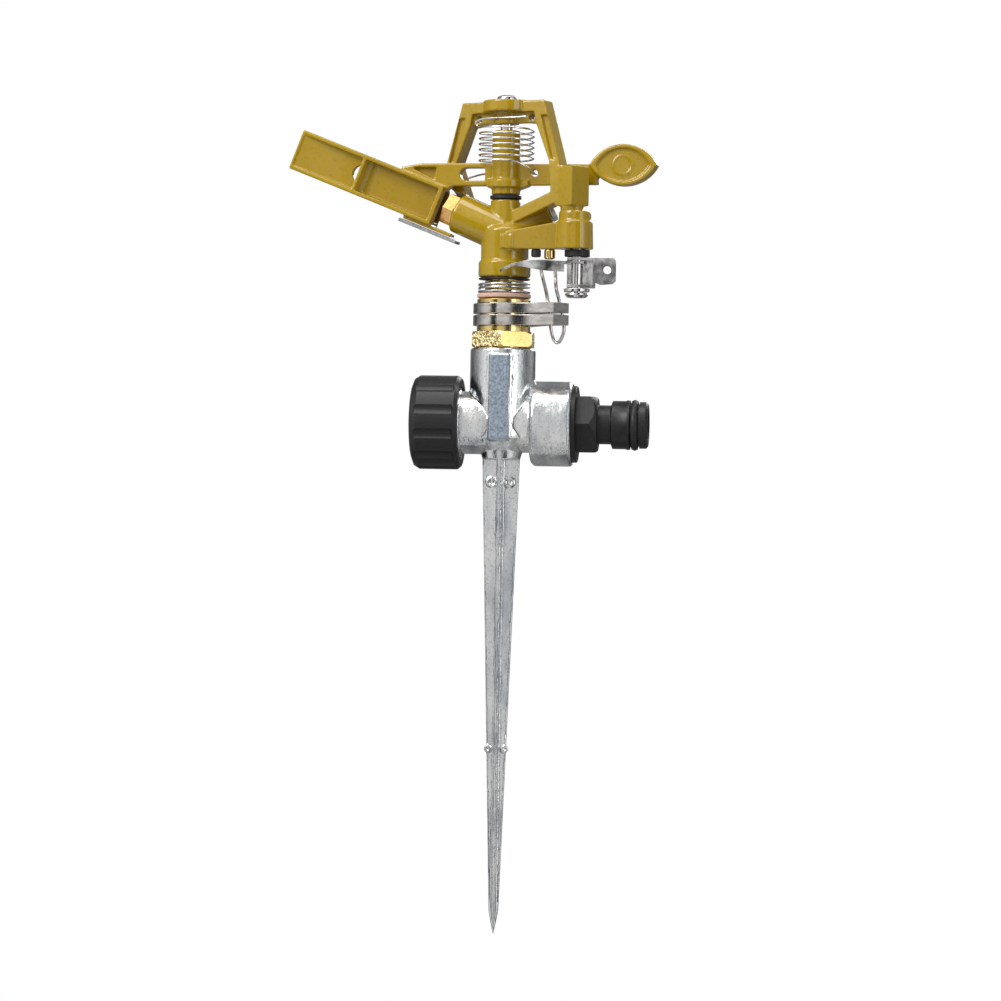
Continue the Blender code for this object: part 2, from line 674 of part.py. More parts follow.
def arm_spring(head):
    """Torsion spring round the hub; its top end lies across the bridge's two holes."""
    radius = 9.5
    coil = helix(radius, 104.2, 116.2, SPRING_TURNS, SPRING_START, 14)
    lead = smooth_path([coil[-1], (-9.9, -3.6, 117.1), (-10.3, -4.0, 118.5), (-6.0, -4.6, 119.4),
                        (6.0, -4.6, 119.4), (10.2, -4.2, 119.5)], 3)
    hook = [(-14.2, 1.9, 98.8), (-12.0, 2.4, 99.6), (-9.0, 4.4, 100.6), (-5.0, 6.4, 101.0),
            (0.0, 7.0, 101.0), (4.5, 6.5, 100.9), (8.8, 4.4, 100.6), (10.4, 1.9, 100.3),
            (10.4, -1.9, 100.4), (9.6, -3.9, 101.3), (7.2, -6.8, 102.9)]
    turned_by = Matrix.Rotation(math.radians(ARM_ANGLE - HEAD_ANGLE), 3, "Z")
    hook = smooth_path([turned_by @ Vector(p) for p in hook] + [Vector(coil[0])], 3)
    path = [tuple(p) for p in hook[:-1]] + coil + [tuple(p) for p in lead[1:]]
    piece("arm_spring", wire(path, 0.33), STEELY, head)


# ---------------------------------------------------------------- trip assembly

def trip_frame(obj, angle):
    """Turns a piece modelled round its own shaft and carries it to the trip's axis."""
    return shift(turn(obj, angle), x=TRIP_X, y=TRIP_Y)


def trip_piece(name, obj, look, trip):
    """A piece that turns with the trip: its origin is put on the shaft's axis."""
    return piece(name, shift(obj, x=-TRIP_X, y=-TRIP_Y), look, trip)


def trip_blade():
    """Long sheet-metal tongue that lies in front of the body and bends down at its tip."""
    side = [(-3.4, 69.1), (4.0, 69.15), (12.0, 69.5), (15.4, 69.4), (20.0, 68.7), (23.2, 67.8),
            (26.8, 65.9), (26.6, 65.1), (22.8, 66.9), (19.8, 67.8), (15.4, 68.5), (12.0, 68.6),
            (-3.4, 68.2)]
    sheet = upright([side], -4.0, 4.0)
    plan = flat([[(26.4, 1.1), (27.2, 0.0), (26.4, -1.1), (4.5, -3.1), (-2.4, -3.1),
                  (-3.5, 0.0), (-2.4, 3.1), (3.8, 3.1), (5.0, 2.2), (20.0, 2.2)]], 60.0, 72.0)
    sheet = combine(sheet, [plan], "INTERSECT")
    lip = [(4.4, 68.8), (14.5, 68.9), (20.0, 68.2), (23.0, 67.3), (19.0, 67.0), (14.0, 66.2),
           (10.0, 65.7), (4.4, 65.5)]
    sheet = union(sheet, upright([lip], 1.25, 2.15))
    return trip_frame(cut(sheet, rod(SHAFT_R + GAP, 60.0, 73.0, SMALL_ROUND)), 207.6)


def trip_clamp():
    """Folded bracket round the shaft, with a drilled lug that points away from the body."""
    flange = [(-3.4, -2.4), (-2.0, -3.2), (6.4, -3.2), (6.4, 4.6), (-3.4, 4.6)]
    lower = flat([flange], 60.2, 61.1)
    upper = flat([flange], 69.5, 70.4)
    back = box((-3.4, 3.7, 60.2), (6.4, 4.6, 70.4))
    cheek = box((5.5, -3.2, 60.2), (6.4, 4.6, 70.4))
    lug = upright([[(5.6, 62.0), (8.2, 61.0), (12.4, 61.4), (13.4, 62.4), (13.4, 69.4),
                    (12.6, 70.4), (5.6, 70.4)]], -3.2, -2.2)
    body = union(lower, upper, back, cheek, lug)
    hole = shift(turn(rod(1.4, -9.0, 9.0, 12), 90.0, "X"), x=10.4, z=66.2)
    return trip_frame(cut(body, rod(SHAFT_R + GAP, 58.0, 72.0, SMALL_ROUND), hole), 30.0)


def trip_wire():
    """Hairpin that hangs behind the collars' ears and is knocked across by them."""
    legs = [(16.7, -3.2, 67.6), (16.2, -2.4, 65.4), (15.4, 2.0, 60.1), (14.7, 4.9, 56.4),
            (15.3, 5.6, 50.5), (15.9, 5.6, 46.0), (17.0, 5.6, 42.6), (18.5, 5.6, 41.3),
            (20.0, 5.6, 42.6), (21.1, 5.6, 46.0), (20.4, 5.6, 50.5), (19.2, 4.9, 56.4),
            (19.7, 2.0, 60.1), (20.9, -1.0, 65.4), (21.0, -1.6, 67.6)]
    return wire([tuple(p) for p in smooth_path(legs, 3)], 0.6)


def trip_assembly(head, trip):
    shaft = turned([(0.0, 83.2), (SHAFT_R, 83.2), (SHAFT_R, 58.2), (3.9, 58.2), (4.1, 57.5),
                    (3.2, 56.6), (0.0, 56.4)], SMALL_ROUND)
    trip_piece("trip_shaft", shift(shaft, x=TRIP_X, y=TRIP_Y), STEELY, trip)
    washer = ring(SHAFT_R + GAP, 4.5, 58.6, 59.7, SMALL_ROUND)
    trip_piece("shaft_washer", shift(washer, x=TRIP_X, y=TRIP_Y), STEELY, trip)
    trip_piece("trip_clamp", trip_clamp(), STEELY, trip)
    trip_piece("trip_blade", trip_blade(), STEELY, trip)
    trip_piece("trip_wire", trip_wire(), STEELY, trip)
    bush = shift(ring(SHAFT_R + GAP, 4.4, 70.8, 73.1, SMALL_ROUND), x=TRIP_X, y=TRIP_Y)
    piece("shaft_bush", bush, RUBBER, head)
    post = shift(rod(1.9, 69.9, 73.1, SMALL_ROUND, 0.4), x=18.6, y=-1.1)
    piece("trip_post", post, BRASSY, head)
    bumper = shift(rod(1.7, 70.6, 73.1, SMALL_ROUND, 0.4), x=14.2, y=-2.9)
    piece("trip_bumper", bumper, RUBBER, head)


# ---------------------------------------------------------------- assembly

def main():
    head = pivot("head_axis", HEAD_ANGLE)
    arm = pivot("arm_axis", ARM_ANGLE)
    trip = pivot("trip_axis", 0.0, (TRIP_X, TRIP_Y, 0.0), head)
    gasket_axis = pivot("cap_gasket_axis", 0.0)
    cap_axis = pivot("cap_axis", 0.0, parent=gasket_axis)
    collar_axes = [pivot("collar_axis_" + name, COLLAR_ANGLE) for name in ("lower", "upper")]
    base_casting()
    hose_adapter()
    end_cap(gasket_axis, cap_axis)
    bearing_nipple()
    collars(collar_axes)
    bearing_stack(head)
    head_casting(head)
    head_fittings(head)
    impact_arm(arm)
    arm_fittings(arm)
    arm_spring(head)
    trip_assembly(head, trip)


main()
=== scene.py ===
"""Looks for the impact sprinkler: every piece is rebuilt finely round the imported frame.

Lengths inside the shape functions are millimetres; piece() turns them into metres and hangs
them on their CAD body. The castings are remeshed so that their inner and outer corners get the
small fillets of die-cast metal.
"""

import math

import bmesh
import bpy
from mathutils import Matrix, Vector

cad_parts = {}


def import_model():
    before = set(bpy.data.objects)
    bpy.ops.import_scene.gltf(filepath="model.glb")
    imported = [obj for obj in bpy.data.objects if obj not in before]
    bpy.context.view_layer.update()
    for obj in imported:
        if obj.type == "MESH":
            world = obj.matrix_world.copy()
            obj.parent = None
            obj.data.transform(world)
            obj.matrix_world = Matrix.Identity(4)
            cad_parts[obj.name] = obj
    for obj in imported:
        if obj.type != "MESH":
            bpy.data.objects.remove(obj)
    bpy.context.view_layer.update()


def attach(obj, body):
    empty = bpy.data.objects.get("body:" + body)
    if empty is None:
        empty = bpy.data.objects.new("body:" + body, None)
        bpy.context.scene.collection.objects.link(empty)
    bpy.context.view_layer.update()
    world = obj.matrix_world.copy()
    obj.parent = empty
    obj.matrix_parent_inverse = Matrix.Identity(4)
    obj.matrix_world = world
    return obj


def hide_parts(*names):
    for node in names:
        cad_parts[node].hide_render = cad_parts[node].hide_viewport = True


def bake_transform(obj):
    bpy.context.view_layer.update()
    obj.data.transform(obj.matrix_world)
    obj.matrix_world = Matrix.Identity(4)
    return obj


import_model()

MM = 0.001
GAP = 0.3
ROUND = 96              # sides of a large turned piece
SMALL_ROUND = 48        # sides of a small turned piece
COARSE_ROUND = 24       # sides of a turned part of a casting, which remesh() smooths
VANE_STEPS = 40
POCKET_STEPS = 24
STRAP_STEPS = 28
LENS_STEPS = 13
SPRING_STEPS = 48       # points in one turn of the arm's spring
TINY = 0.0001           # points closer than this are one point
SEAM = 0.0005           # the same, after a Boolean
THROUGH = 9.0           # half length of a tool that cuts right through a plate
WIRE_ROUNDNESS = 4
CAST_VOXEL = 0.3        # grain of a remeshed casting
BEVEL_ABOVE = 28.0      # edges sharper than this many degrees are rounded

# Bodies with their turn at rest about the vertical axis, in degrees
BASE = ("base", 0.0)
HEAD = ("head", -24.0)
ARM = ("arm", -7.0)
TRIP = ("trip", -24.0)
CAP = ("cap", 0.0)
CAP_GASKET = ("cap_gasket", 0.0)
COLLARS = (("collar_lower", -34.0), ("collar_upper", -34.0))

# Base casting and spike
PORT_Z = 13.0
SOCKET_R = 11.4
SOCKET_Z = (8.0, 39.2)
SPIKE_TIP_Z = -166.0
SPIKE_SHOULDER_Z = -157.5
SPIKE_HALF_WIDTH = (1.7, 6.6)
RIB_HALF = (0.7, 0.95)
BOSS_R = 14.8
BOSS_X = (10.5, 25.1)
STUB_R = 10.95
CAP_THREAD_R = 12.0
WATERWAY_R = 6.0
PAD_HALF_WIDTH = 3.45
PAD_FRONT = -12.1
PAD_Z = (6.9, 36.7)
MARK_SIZES = ((-7.6, 1.85), (-100.8, 1.3))      # height and radius of the spike's ring marks
MARK_X = 3.0

# Hose adapter and end cap
ADAPTER_BORE_R = 5.2
ADAPTER_X = (13.9, 51.3)
CAP_R = 16.4
CAP_X = (-31.2, -14.2)
CAP_FLUTES = 12
FLUTE_R = 2.65

# Bearing stack, heights on the vertical axis
HEX_ACROSS_FLATS = 21.0
NIPPLE_HEX_Z = (39.5, 44.8)
NIPPLE_HEX_ANGLE = 31.5
COLLAR_Z = ((46.9, 50.5), (51.1, 54.6))
EAR_REACH = 25.8
EAR_HALF = 4.3
EAR_SLOT_REACH = 20.8
EAR_SLOT_HALF = 1.3
FIBRE_WASHER_Z = (56.7, 58.2)
STEEL_WASHER_Z = (58.5, 59.2)
BEARING_SPRING_Z = (60.0, 62.3)
BEARING_SPRING_R = 8.75
BEARING_SPRING_TURNS = 1.9
BEARING_SPRING_START = 200.0    # bearing of its lower end, in degrees
BEARING_WIRE_R = 0.42
SEAL_WASHER_Z = (63.1, 63.6)
SLEEVE_SEAL_Z = (32.6, 34.1)
SLEEVE_HEX_Z = (57.1, 62.8)
BORE_R = 3.2

# Head casting
BODY_R = 8.3
SKIRT_R = 9.1
NECK_R = 5.2
BARREL_R = 7.0
BARREL_AXIS_Z = 79.1
BARREL_RISE = 23.6
BARREL_LENGTH = 19.0
BARREL_TURN = 13.0      # the jet leaves just behind the arm's middle plane
PLUG_TILT = 62.0        # the rear plug's boss, from the vertical
PLUG_TURN = 34.0
PLUG_Z = 78.5
BRIDGE_HALF_DEPTH = 3.1
BRIDGE_TOP_Z = 125.3
BRIDGE_INNER_Z = 117.6
RECESS_TOP_Z = 121.4
SPRING_HOLE = (10.6, 119.5)
PIN_R = 2.2
BRACKET_Z = 73.4        # underside of the trip's bracket
BRACKET_TURN = 22.2
BRACKET_LENGTH = 24.0
BLOCK_TURN = -20.0

# Impact arm
SPRING_R = 9.5
SPRING_Z = (104.2, 116.2)
SPRING_START = 307.0    # bearing of its lower end, in degrees
SPRING_TURNS = -6.27    # left-handed
SPRING_WIRE_R = 0.33
ARM_HUB_R = 5.0
ARM_HUB_Z = (92.8, 115.2)
BEAM_Z = (95.8, 103.8)
BEAM_HALF = 1.3
BEAM_FRONT = -2.9
SPOON_TILT = 21.45      # slope of the spoon, in degrees
SPOON_Z = 79.4          # where its middle line would meet the vertical axis
SPOON_X = (-80.4, -25.2)    # its ends, along its own slope
SPOON_DEPTH = 6.0
SPOON_HALF = 7.25
VANE_X = (-79.6, -61.0)
VANE_SINK = 2.2         # how much deeper the vane lies at the tab than at the tip
TAB_X = -56.3
PLATE = 1.45
PAD_DROP = 1.2          # how far the pad for the strip stands out below the spoon
STRIP_THICKNESS = 1.2
ANCHOR_HOLE = (10.4, 100.3)
LENS_X = 42.0
LENS_Z = 103.0
LENS_HALF = (12.95, 7.25)

# Trip assembly, in the head's frame
TRIP_X = 27.8
TRIP_Y = 2.0
TRIP_BOSS = (27.0, 1.4)
SHAFT_R = 2.0
STOP_TOP_Z = 73.35      # just under the bracket
CLAMP_ANGLE = 30.0
BLADE_ANGLE = 207.6
TRIP_WIRE_R = 0.6

# Blender's colour sockets on a Mix node
MIX_FIRST = 6
MIX_SECOND = 7
MIX_RESULT = 2


# ---------------------------------------------------------------- materials

def shader_of(look):
    return look.node_tree.nodes["Principled BSDF"]


def new_look(name, roughness, metallic=0.0):
    look = bpy.data.materials.new(name)
    look.use_nodes = True
    shader = shader_of(look)
    shader.inputs["Roughness"].default_value = roughness
    shader.inputs["Metallic"].default_value = metallic
    return look


def place(look, kind, **inputs):
    """Adds a node to a material or a world and sets the inputs that are given by name."""
    node = look.node_tree.nodes.new(kind)
    for key, value in inputs.items():
        node.inputs[key.replace("_", " ")].default_value = value
    return node


def object_space(look):
    return look.node_tree.nodes.new("ShaderNodeTexCoord").outputs["Object"]


def noise(look, scale, detail=4.0, stretch=(1.0, 1.0, 1.0)):
    """Noise in object space, in features per metre, optionally drawn out along an axis."""
    links = look.node_tree.links
    mapping = look.node_tree.nodes.new("ShaderNodeMapping")
    mapping.inputs["Scale"].default_value = stretch
    links.new(object_space(look), mapping.inputs["Vector"])
    texture = place(look, "ShaderNodeTexNoise", Scale=scale, Detail=detail)
    links.new(mapping.outputs["Vector"], texture.inputs["Vector"])
    return texture.outputs["Fac"]


def ramp(look, source, stops):
    """Maps a value to colours; each stop is (position, linear colour or grey)."""
    node = look.node_tree.nodes.new("ShaderNodeValToRGB")
    elements = node.color_ramp.elements
    while len(elements) < len(stops):
        elements.new(0.5)
    for element, (position, colour) in zip(elements, stops):
        if isinstance(colour, float):
            colour = (colour, colour, colour)
        element.position = position
        element.color = (*colour, 1.0)
    look.node_tree.links.new(source, node.inputs["Fac"])
    return node.outputs["Color"]


def multiply(look, amount, first, second):
    """The first colour darkened by the second, as far as the amount says."""
    node = place(look, "ShaderNodeMix", Factor=amount)
    node.data_type = "RGBA"
    node.blend_type = "MULTIPLY"
    links = look.node_tree.links
    links.new(first, node.inputs[MIX_FIRST])
    links.new(second, node.inputs[MIX_SECOND])
    return node.outputs[MIX_RESULT]


def bump(look, height, strength, distance):
    node = place(look, "ShaderNodeBump", Strength=strength, Distance=distance)
    links = look.node_tree.links
    links.new(height, node.inputs["Height"])
    links.new(node.outputs["Normal"], shader_of(look).inputs["Normal"])


def feed(look, socket, source):
    look.node_tree.links.new(source, shader_of(look).inputs[socket])


def mustard_paint():
    """Glossy enamel, slightly uneven in colour, with a faint orange-peel surface."""
    look = new_look("mustard_paint", 0.2)
    shader = shader_of(look)
    shader.inputs["Coat Weight"].default_value = 0.6
    shader.inputs["Coat Roughness"].default_value = 0.06
    shader.inputs["Specular IOR Level"].default_value = 0.4
    patches = ramp(look, noise(look, 55.0, 3.0), [(0.3, (0.37, 0.232, 0.003)),
                                                  (0.7, (0.43, 0.28, 0.005))])
    flecks = ramp(look, noise(look, 900.0, 2.0), [(0.28, 0.8), (0.42, 1.0)])
    feed(look, "Base Color", multiply(look, 1.0, patches, flecks))
    feed(look, "Roughness", ramp(look, noise(look, 180.0, 4.0), [(0.3, 0.17), (0.75, 0.27)]))
    bump(look, noise(look, 420.0, 2.0), 0.12, 0.0002)
    return look


def bright_zinc():
    """As-cast zinc: bright, with cloudy patches, flow streaks down the spike and dark specks."""
    look = new_look("bright_zinc", 0.34, 1.0)
    clouds = ramp(look, noise(look, 140.0, 6.0, (1.0, 1.0, 0.35)),
                  [(0.32, (0.50, 0.53, 0.57)), (0.5, (0.78, 0.80, 0.81)),
                   (0.66, (0.93, 0.94, 0.92))])
    specks = ramp(look, noise(look, 1500.0, 3.0), [(0.3, 0.55), (0.44, 1.0)])
    feed(look, "Base Color", multiply(look, 0.75, clouds, specks))
    feed(look, "Roughness", ramp(look, noise(look, 260.0, 5.0, (1.0, 1.0, 0.4)),
                                 [(0.3, 0.1), (0.7, 0.34)]))
    bump(look, noise(look, 620.0, 5.0, (1.0, 1.0, 0.6)), 0.55, 0.0003)
    return look


def rough_zinc():
    """The blue-grey ground pad on the front of the socket."""
    look = new_look("rough_zinc", 0.55, 1.0)
    grain = ramp(look, noise(look, 1300.0, 5.0), [(0.35, (0.24, 0.29, 0.36)),
                                                 (0.7, (0.5, 0.57, 0.66))])
    feed(look, "Base Color", grain)
    bump(look, noise(look, 1600.0, 3.0), 0.5, 0.0002)
    return look


def metal(name, dark, bright, roughness, grain=900.0, stretch=(1.0, 1.0, 1.0), depth=0.08):
    """A metal that wanders between two colours, with a fine grain in its roughness and bump."""
    look = new_look(name, roughness, 1.0)
    feed(look, "Base Color", ramp(look, noise(look, 210.0, 4.0, stretch),
                                  [(0.25, dark), (0.7, bright)]))
    feed(look, "Roughness", ramp(look, noise(look, grain, 3.0, stretch),
                                 [(0.3, roughness * 0.75), (0.7, roughness * 1.35)]))
    bump(look, noise(look, grain, 3.0, stretch), depth, 0.0002)
    return look


def rough_brass():
    """The unmachined faces of the nut, coarse as they came from the mould."""
    look = new_look("rough_brass", 0.4, 1.0)
    grain = noise(look, 1250.0, 4.0)
    feed(look, "Base Color", ramp(look, grain, [(0.4, (0.30, 0.20, 0.06)),
                                               (0.56, (0.90, 0.76, 0.42))]))
    bump(look, grain, 1.0, 0.0005)
    return look


def dull(name, dark, light, roughness, grain, depth):
    """Plastic, rubber or fibre: a fine mottled grain with a matching bump."""
    look = new_look(name, roughness)
    feed(look, "Base Color", ramp(look, noise(look, grain, 4.0), [(0.3, dark), (0.7, light)]))
    feed(look, "Roughness", ramp(look, noise(look, grain * 0.6, 3.0),
                                 [(0.3, roughness * 0.85), (0.7, roughness * 1.15)]))
    bump(look, noise(look, grain * 1.4, 2.0), depth, 0.0001)
    return look


LOOKS = {
    "paint": mustard_paint(),
    "zinc": bright_zinc(),
    "rough_zinc": rough_zinc(),
    "brass": metal("bright_brass", (0.78, 0.55, 0.17), (0.93, 0.74, 0.33), 0.17),
    "orange_brass": metal("nozzle_brass", (0.80, 0.42, 0.13), (0.93, 0.58, 0.24), 0.28),
    "rough_brass": rough_brass(),
    "steel": metal("stainless_steel", (0.62, 0.61, 0.60), (0.90, 0.89, 0.88), 0.12),
    "strap_steel": metal("strap_steel", (0.42, 0.39, 0.37), (0.78, 0.75, 0.72), 0.13, 1400.0,
                         (1.0, 1.0, 3.0), 0.1),
    "pressed_steel": metal("pressed_steel", (0.07, 0.07, 0.07), (0.98, 0.97, 0.96), 0.1,
                           420.0, (1.0, 1.0, 1.0), 0.9),
    "black_plastic": dull("black_plastic", (0.004, 0.004, 0.005), (0.012, 0.012, 0.013), 0.4,
                          1600.0, 0.12),
    "rubber": dull("black_rubber", (0.006, 0.006, 0.006), (0.018, 0.018, 0.018), 0.55,
                   1300.0, 0.15),
    "fibre": dull("pink_fibre", (0.52, 0.30, 0.22), (0.78, 0.56, 0.46), 0.75, 2600.0, 0.4),
}


# ---------------------------------------------------------------- working solids, in mm

def work_object(mesh):
    obj = bpy.data.objects.new("work", mesh)
    bpy.context.scene.collection.objects.link(obj)
    return obj


def evaluated_mesh(obj):
    bpy.context.view_layer.update()
    depsgraph = bpy.context.evaluated_depsgraph_get()
    return bpy.data.meshes.new_from_object(obj.evaluated_get(depsgraph))


def weld(mesh, distance):
    """Merges doubled points, which also closes the hairline seams a Boolean can leave."""
    shape = bmesh.new()
    shape.from_mesh(mesh)
    bmesh.ops.remove_doubles(shape, verts=shape.verts, dist=distance)
    bmesh.ops.dissolve_degenerate(shape, edges=shape.edges, dist=distance)
    bmesh.ops.recalc_face_normals(shape, faces=shape.faces)
    shape.to_mesh(mesh)
    shape.free()


def settle(obj):
    """Turns a modified object or a curve into a plain closed mesh in the same place."""
    mesh = evaluated_mesh(obj)
    mesh.transform(obj.matrix_world)
    weld(mesh, TINY)
    bpy.data.objects.remove(obj, do_unlink=True)
    return work_object(mesh)


def move(obj, matrix):
    obj.data.transform(matrix)
    return obj


def shift(obj, x=0.0, y=0.0, z=0.0):
    return move(obj, Matrix.Translation((x, y, z)))


def turn(obj, degrees, axis="Z"):
    return move(obj, Matrix.Rotation(math.radians(degrees), 4, axis))


def box(low, high):
    bpy.ops.mesh.primitive_cube_add(size=1.0)
    obj = bpy.context.object
    size = [b - a for a, b in zip(low, high)]
    middle = [(a + b) / 2 for a, b in zip(low, high)]
    return move(obj, Matrix.Translation(middle) @ Matrix.Diagonal((*size, 1.0)))


def turned(profile, steps=ROUND):
    """A solid of revolution about Z; the profile lists (radius, z) from top to bottom."""
    mesh = bpy.data.meshes.new("profile")
    points = [(r, 0.0, z) for r, z in profile]
    last = len(points) - 1
    edges = [(i, i + 1) for i in range(last)]
    if profile[0][0] > 0.0 or profile[-1][0] > 0.0:
        edges.append((last, 0))
    mesh.from_pydata(points, edges, [])
    obj = work_object(mesh)
    screw = obj.modifiers.new("Screw", "SCREW")
    screw.steps = steps
    screw.render_steps = steps
    screw.use_merge_vertices = True
    screw.merge_threshold = TINY
    return settle(obj)


def rod(radius, low, high, steps=ROUND, chamfer=0.0):
    c = chamfer
    profile = [(0.0, high), (radius - c, high), (radius, high - c),
               (radius, low + c), (radius - c, low), (0.0, low)]
    if c == 0.0:
        profile = [(0.0, high), (radius, high), (radius, low), (0.0, low)]
    return turned(profile, steps)


def ring(inner, outer, low, high, steps=ROUND, chamfer=0.0):
    c = chamfer
    profile = [(inner, high), (outer - c, high), (outer, high - c),
               (outer, low + c), (outer - c, low), (inner, low)]
    if c == 0.0:
        profile = [(inner, high), (outer, high), (outer, low), (inner, low)]
    return turned(profile, steps)


def along_x(obj):
    """Turns a piece made about Z so that its +Z runs along +X, at the ports' height."""
    return shift(turn(obj, 90.0, "Y"), z=PORT_Z)


def arc(cx, cy, radius, start, end, count):
    """Points on an arc between two bearings in degrees."""
    angles = [math.radians(start + (end - start) * i / (count - 1)) for i in range(count)]
    return [(cx + radius * math.cos(a), cy + radius * math.sin(a)) for a in angles]


def flat(outlines, low, high):
    """A flat plate in XY from one or more closed outlines (the later ones are holes)."""
    curve = bpy.data.curves.new("outline", "CURVE")
    curve.dimensions = "2D"
    curve.fill_mode = "BOTH"
    curve.extrude = (high - low) / 2
    for outline in outlines:
        spline = curve.splines.new("POLY")
        spline.points.add(len(outline) - 1)
        spline.use_cyclic_u = True
        for point, (x, y) in zip(spline.points, outline):
            point.co = (x, y, 0.0, 1.0)
    obj = bpy.data.objects.new("outline", curve)
    bpy.context.scene.collection.objects.link(obj)
    return shift(settle(obj), z=(low + high) / 2)


def upright(outlines, front, back):
    """A plate standing in the XZ plane, its outlines in (x, z), between y=front and y=back."""
    return turn(flat(outlines, -back, -front), 90.0, "X")


def prism(sides, across_flats, low, high, angle):
    """An upright bar with equal sides, its first corner at the given bearing."""
    radius = across_flats / 2 / math.cos(math.pi / sides)
    outline = arc(0.0, 0.0, radius, angle, angle + 360.0 * (sides - 1) / sides, sides)
    return flat([outline], low, high)


def wire(points, radius):
    """Round wire along a line of points."""
    curve = bpy.data.curves.new("wire", "CURVE")
    curve.dimensions = "3D"
    curve.bevel_depth = radius
    curve.bevel_resolution = WIRE_ROUNDNESS
    curve.use_fill_caps = True
    spline = curve.splines.new("POLY")
    spline.points.add(len(points) - 1)
    for point, spot in zip(spline.points, points):
        point.co = (*spot, 1.0)
    obj = bpy.data.objects.new("wire", curve)
    bpy.context.scene.collection.objects.link(obj)
    return settle(obj)


def smooth_path(points, per_span):
    """Points on a Catmull-Rom curve through the given ones."""
    knots = [Vector(p) for p in points]
    knots = [2 * knots[0] - knots[1]] + knots + [2 * knots[-1] - knots[-2]]
    path = []
    for a, b, c, d in zip(knots, knots[1:], knots[2:], knots[3:]):
        for i in range(per_span):
            t = i / per_span
            path.append(0.5 * (2 * b + (c - a) * t + (2 * a - 5 * b + 4 * c - d) * t ** 2
                               + (3 * b - a - 3 * c + d) * t ** 3))
    path.append(knots[-2])
    return path


def helix(radius, low, high, turns, start, per_turn):
    """Points on a coil about Z from a bearing in degrees; negative turns are left-handed."""
    count = int(abs(turns) * per_turn)
    path = []
    for i in range(count + 1):
        t = i / count
        angle = math.radians(start) + 2 * math.pi * turns * t
        path.append((radius * math.cos(angle), radius * math.sin(angle), low + (high - low) * t))
    return path


def combine(obj, others, operation):
    """Booleans one piece with each of the others, which are used up."""
    for other in others:
        step = obj.modifiers.new("Boolean", "BOOLEAN")
        step.operation = operation
        step.solver = "EXACT"
        step.object = other
        mesh = evaluated_mesh(obj)
        weld(mesh, SEAM)
        obj.modifiers.clear()
        obj.data = mesh
        bpy.data.objects.remove(other, do_unlink=True)
    return obj


def union(obj, *others):
    return combine(obj, others, "UNION")


def cut(obj, *others):
    return combine(obj, others, "DIFFERENCE")


def common(obj, other):
    return combine(obj, [other], "INTERSECT")


# ---------------------------------------------------------------- finishing a piece

def remesh(obj):
    """Gives a casting its small fillets: a fine even mesh, then a light smoothing."""
    grid = obj.modifiers.new("Remesh", "REMESH")
    grid.mode = "VOXEL"
    grid.voxel_size = CAST_VOXEL
    grid.use_smooth_shade = True
    relax = obj.modifiers.new("Smooth", "SMOOTH")
    relax.factor = 0.5
    relax.iterations = 5
    mesh = evaluated_mesh(obj)
    obj.modifiers.clear()
    obj.data = mesh
    return obj


def piece(node, obj, look, home, finish="bevel", edge=0.18):
    """Finishes a solid, carries it to its place in metres and puts it on its body; a spring is
    left off its body, its place baked in.
    """
    body, angle = home
    if finish == "cast":
        remesh(obj)
    move(obj, Matrix.Rotation(math.radians(angle), 4, "Z") @ Matrix.Scale(MM, 4))
    obj.name = node + "_fine"
    obj.data.name = obj.name
    obj.data.materials.clear()
    obj.data.materials.append(LOOKS[look])
    obj.data.shade_smooth()
    if finish == "bevel":
        rim = obj.modifiers.new("Bevel", "BEVEL")
        rim.width = edge * MM
        rim.segments = 2
        rim.limit_method = "ANGLE"
        rim.angle_limit = math.radians(BEVEL_ABOVE)
        rim.harden_normals = True
    if finish == "spring":
        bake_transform(obj)
    else:
        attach(obj, body)
    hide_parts(node)
    return obj


def repaint(obj, look, wanted):
    """Gives a second material to the faces for which wanted(centre, normal) holds, in mm."""
    obj.data.materials.append(LOOKS[look])
    for face in obj.data.polygons:
        if wanted(face.center / MM, face.normal):
            face.material_index = len(obj.data.materials) - 1


# ---------------------------------------------------------------- base

def spike_rib(lift):
    """One tapered web of the cross-shaped spike, wide at the top and pointed at the tip."""
    tip_half, top_half = SPIKE_HALF_WIDTH
    tip_thick, top_thick = RIB_HALF
    sections = [(SPIKE_TIP_Z + lift, 0.15, 0.1), (SPIKE_SHOULDER_Z, tip_half, tip_thick),
                (2.0 + lift, top_half, top_thick)]
    mesh = bmesh.new()
    rings = []
    for z, half, thick in sections:
        corners = [(-half, -thick), (half, -thick), (half, thick), (-half, thick)]
        rings.append([mesh.verts.new((x, y, z)) for x, y in corners])
    mesh.faces.new(rings[0])
    mesh.faces.new(rings[-1])
    for lower, upper in zip(rings, rings[1:]):
        for i in range(4):
            j = (i + 1) % 4
            mesh.faces.new((lower[i], lower[j], upper[j], upper[i]))
    bmesh.ops.recalc_face_normals(mesh, faces=mesh.faces)
    data = bpy.data.meshes.new("rib")
    mesh.to_mesh(data)
    mesh.free()
    return work_object(data)


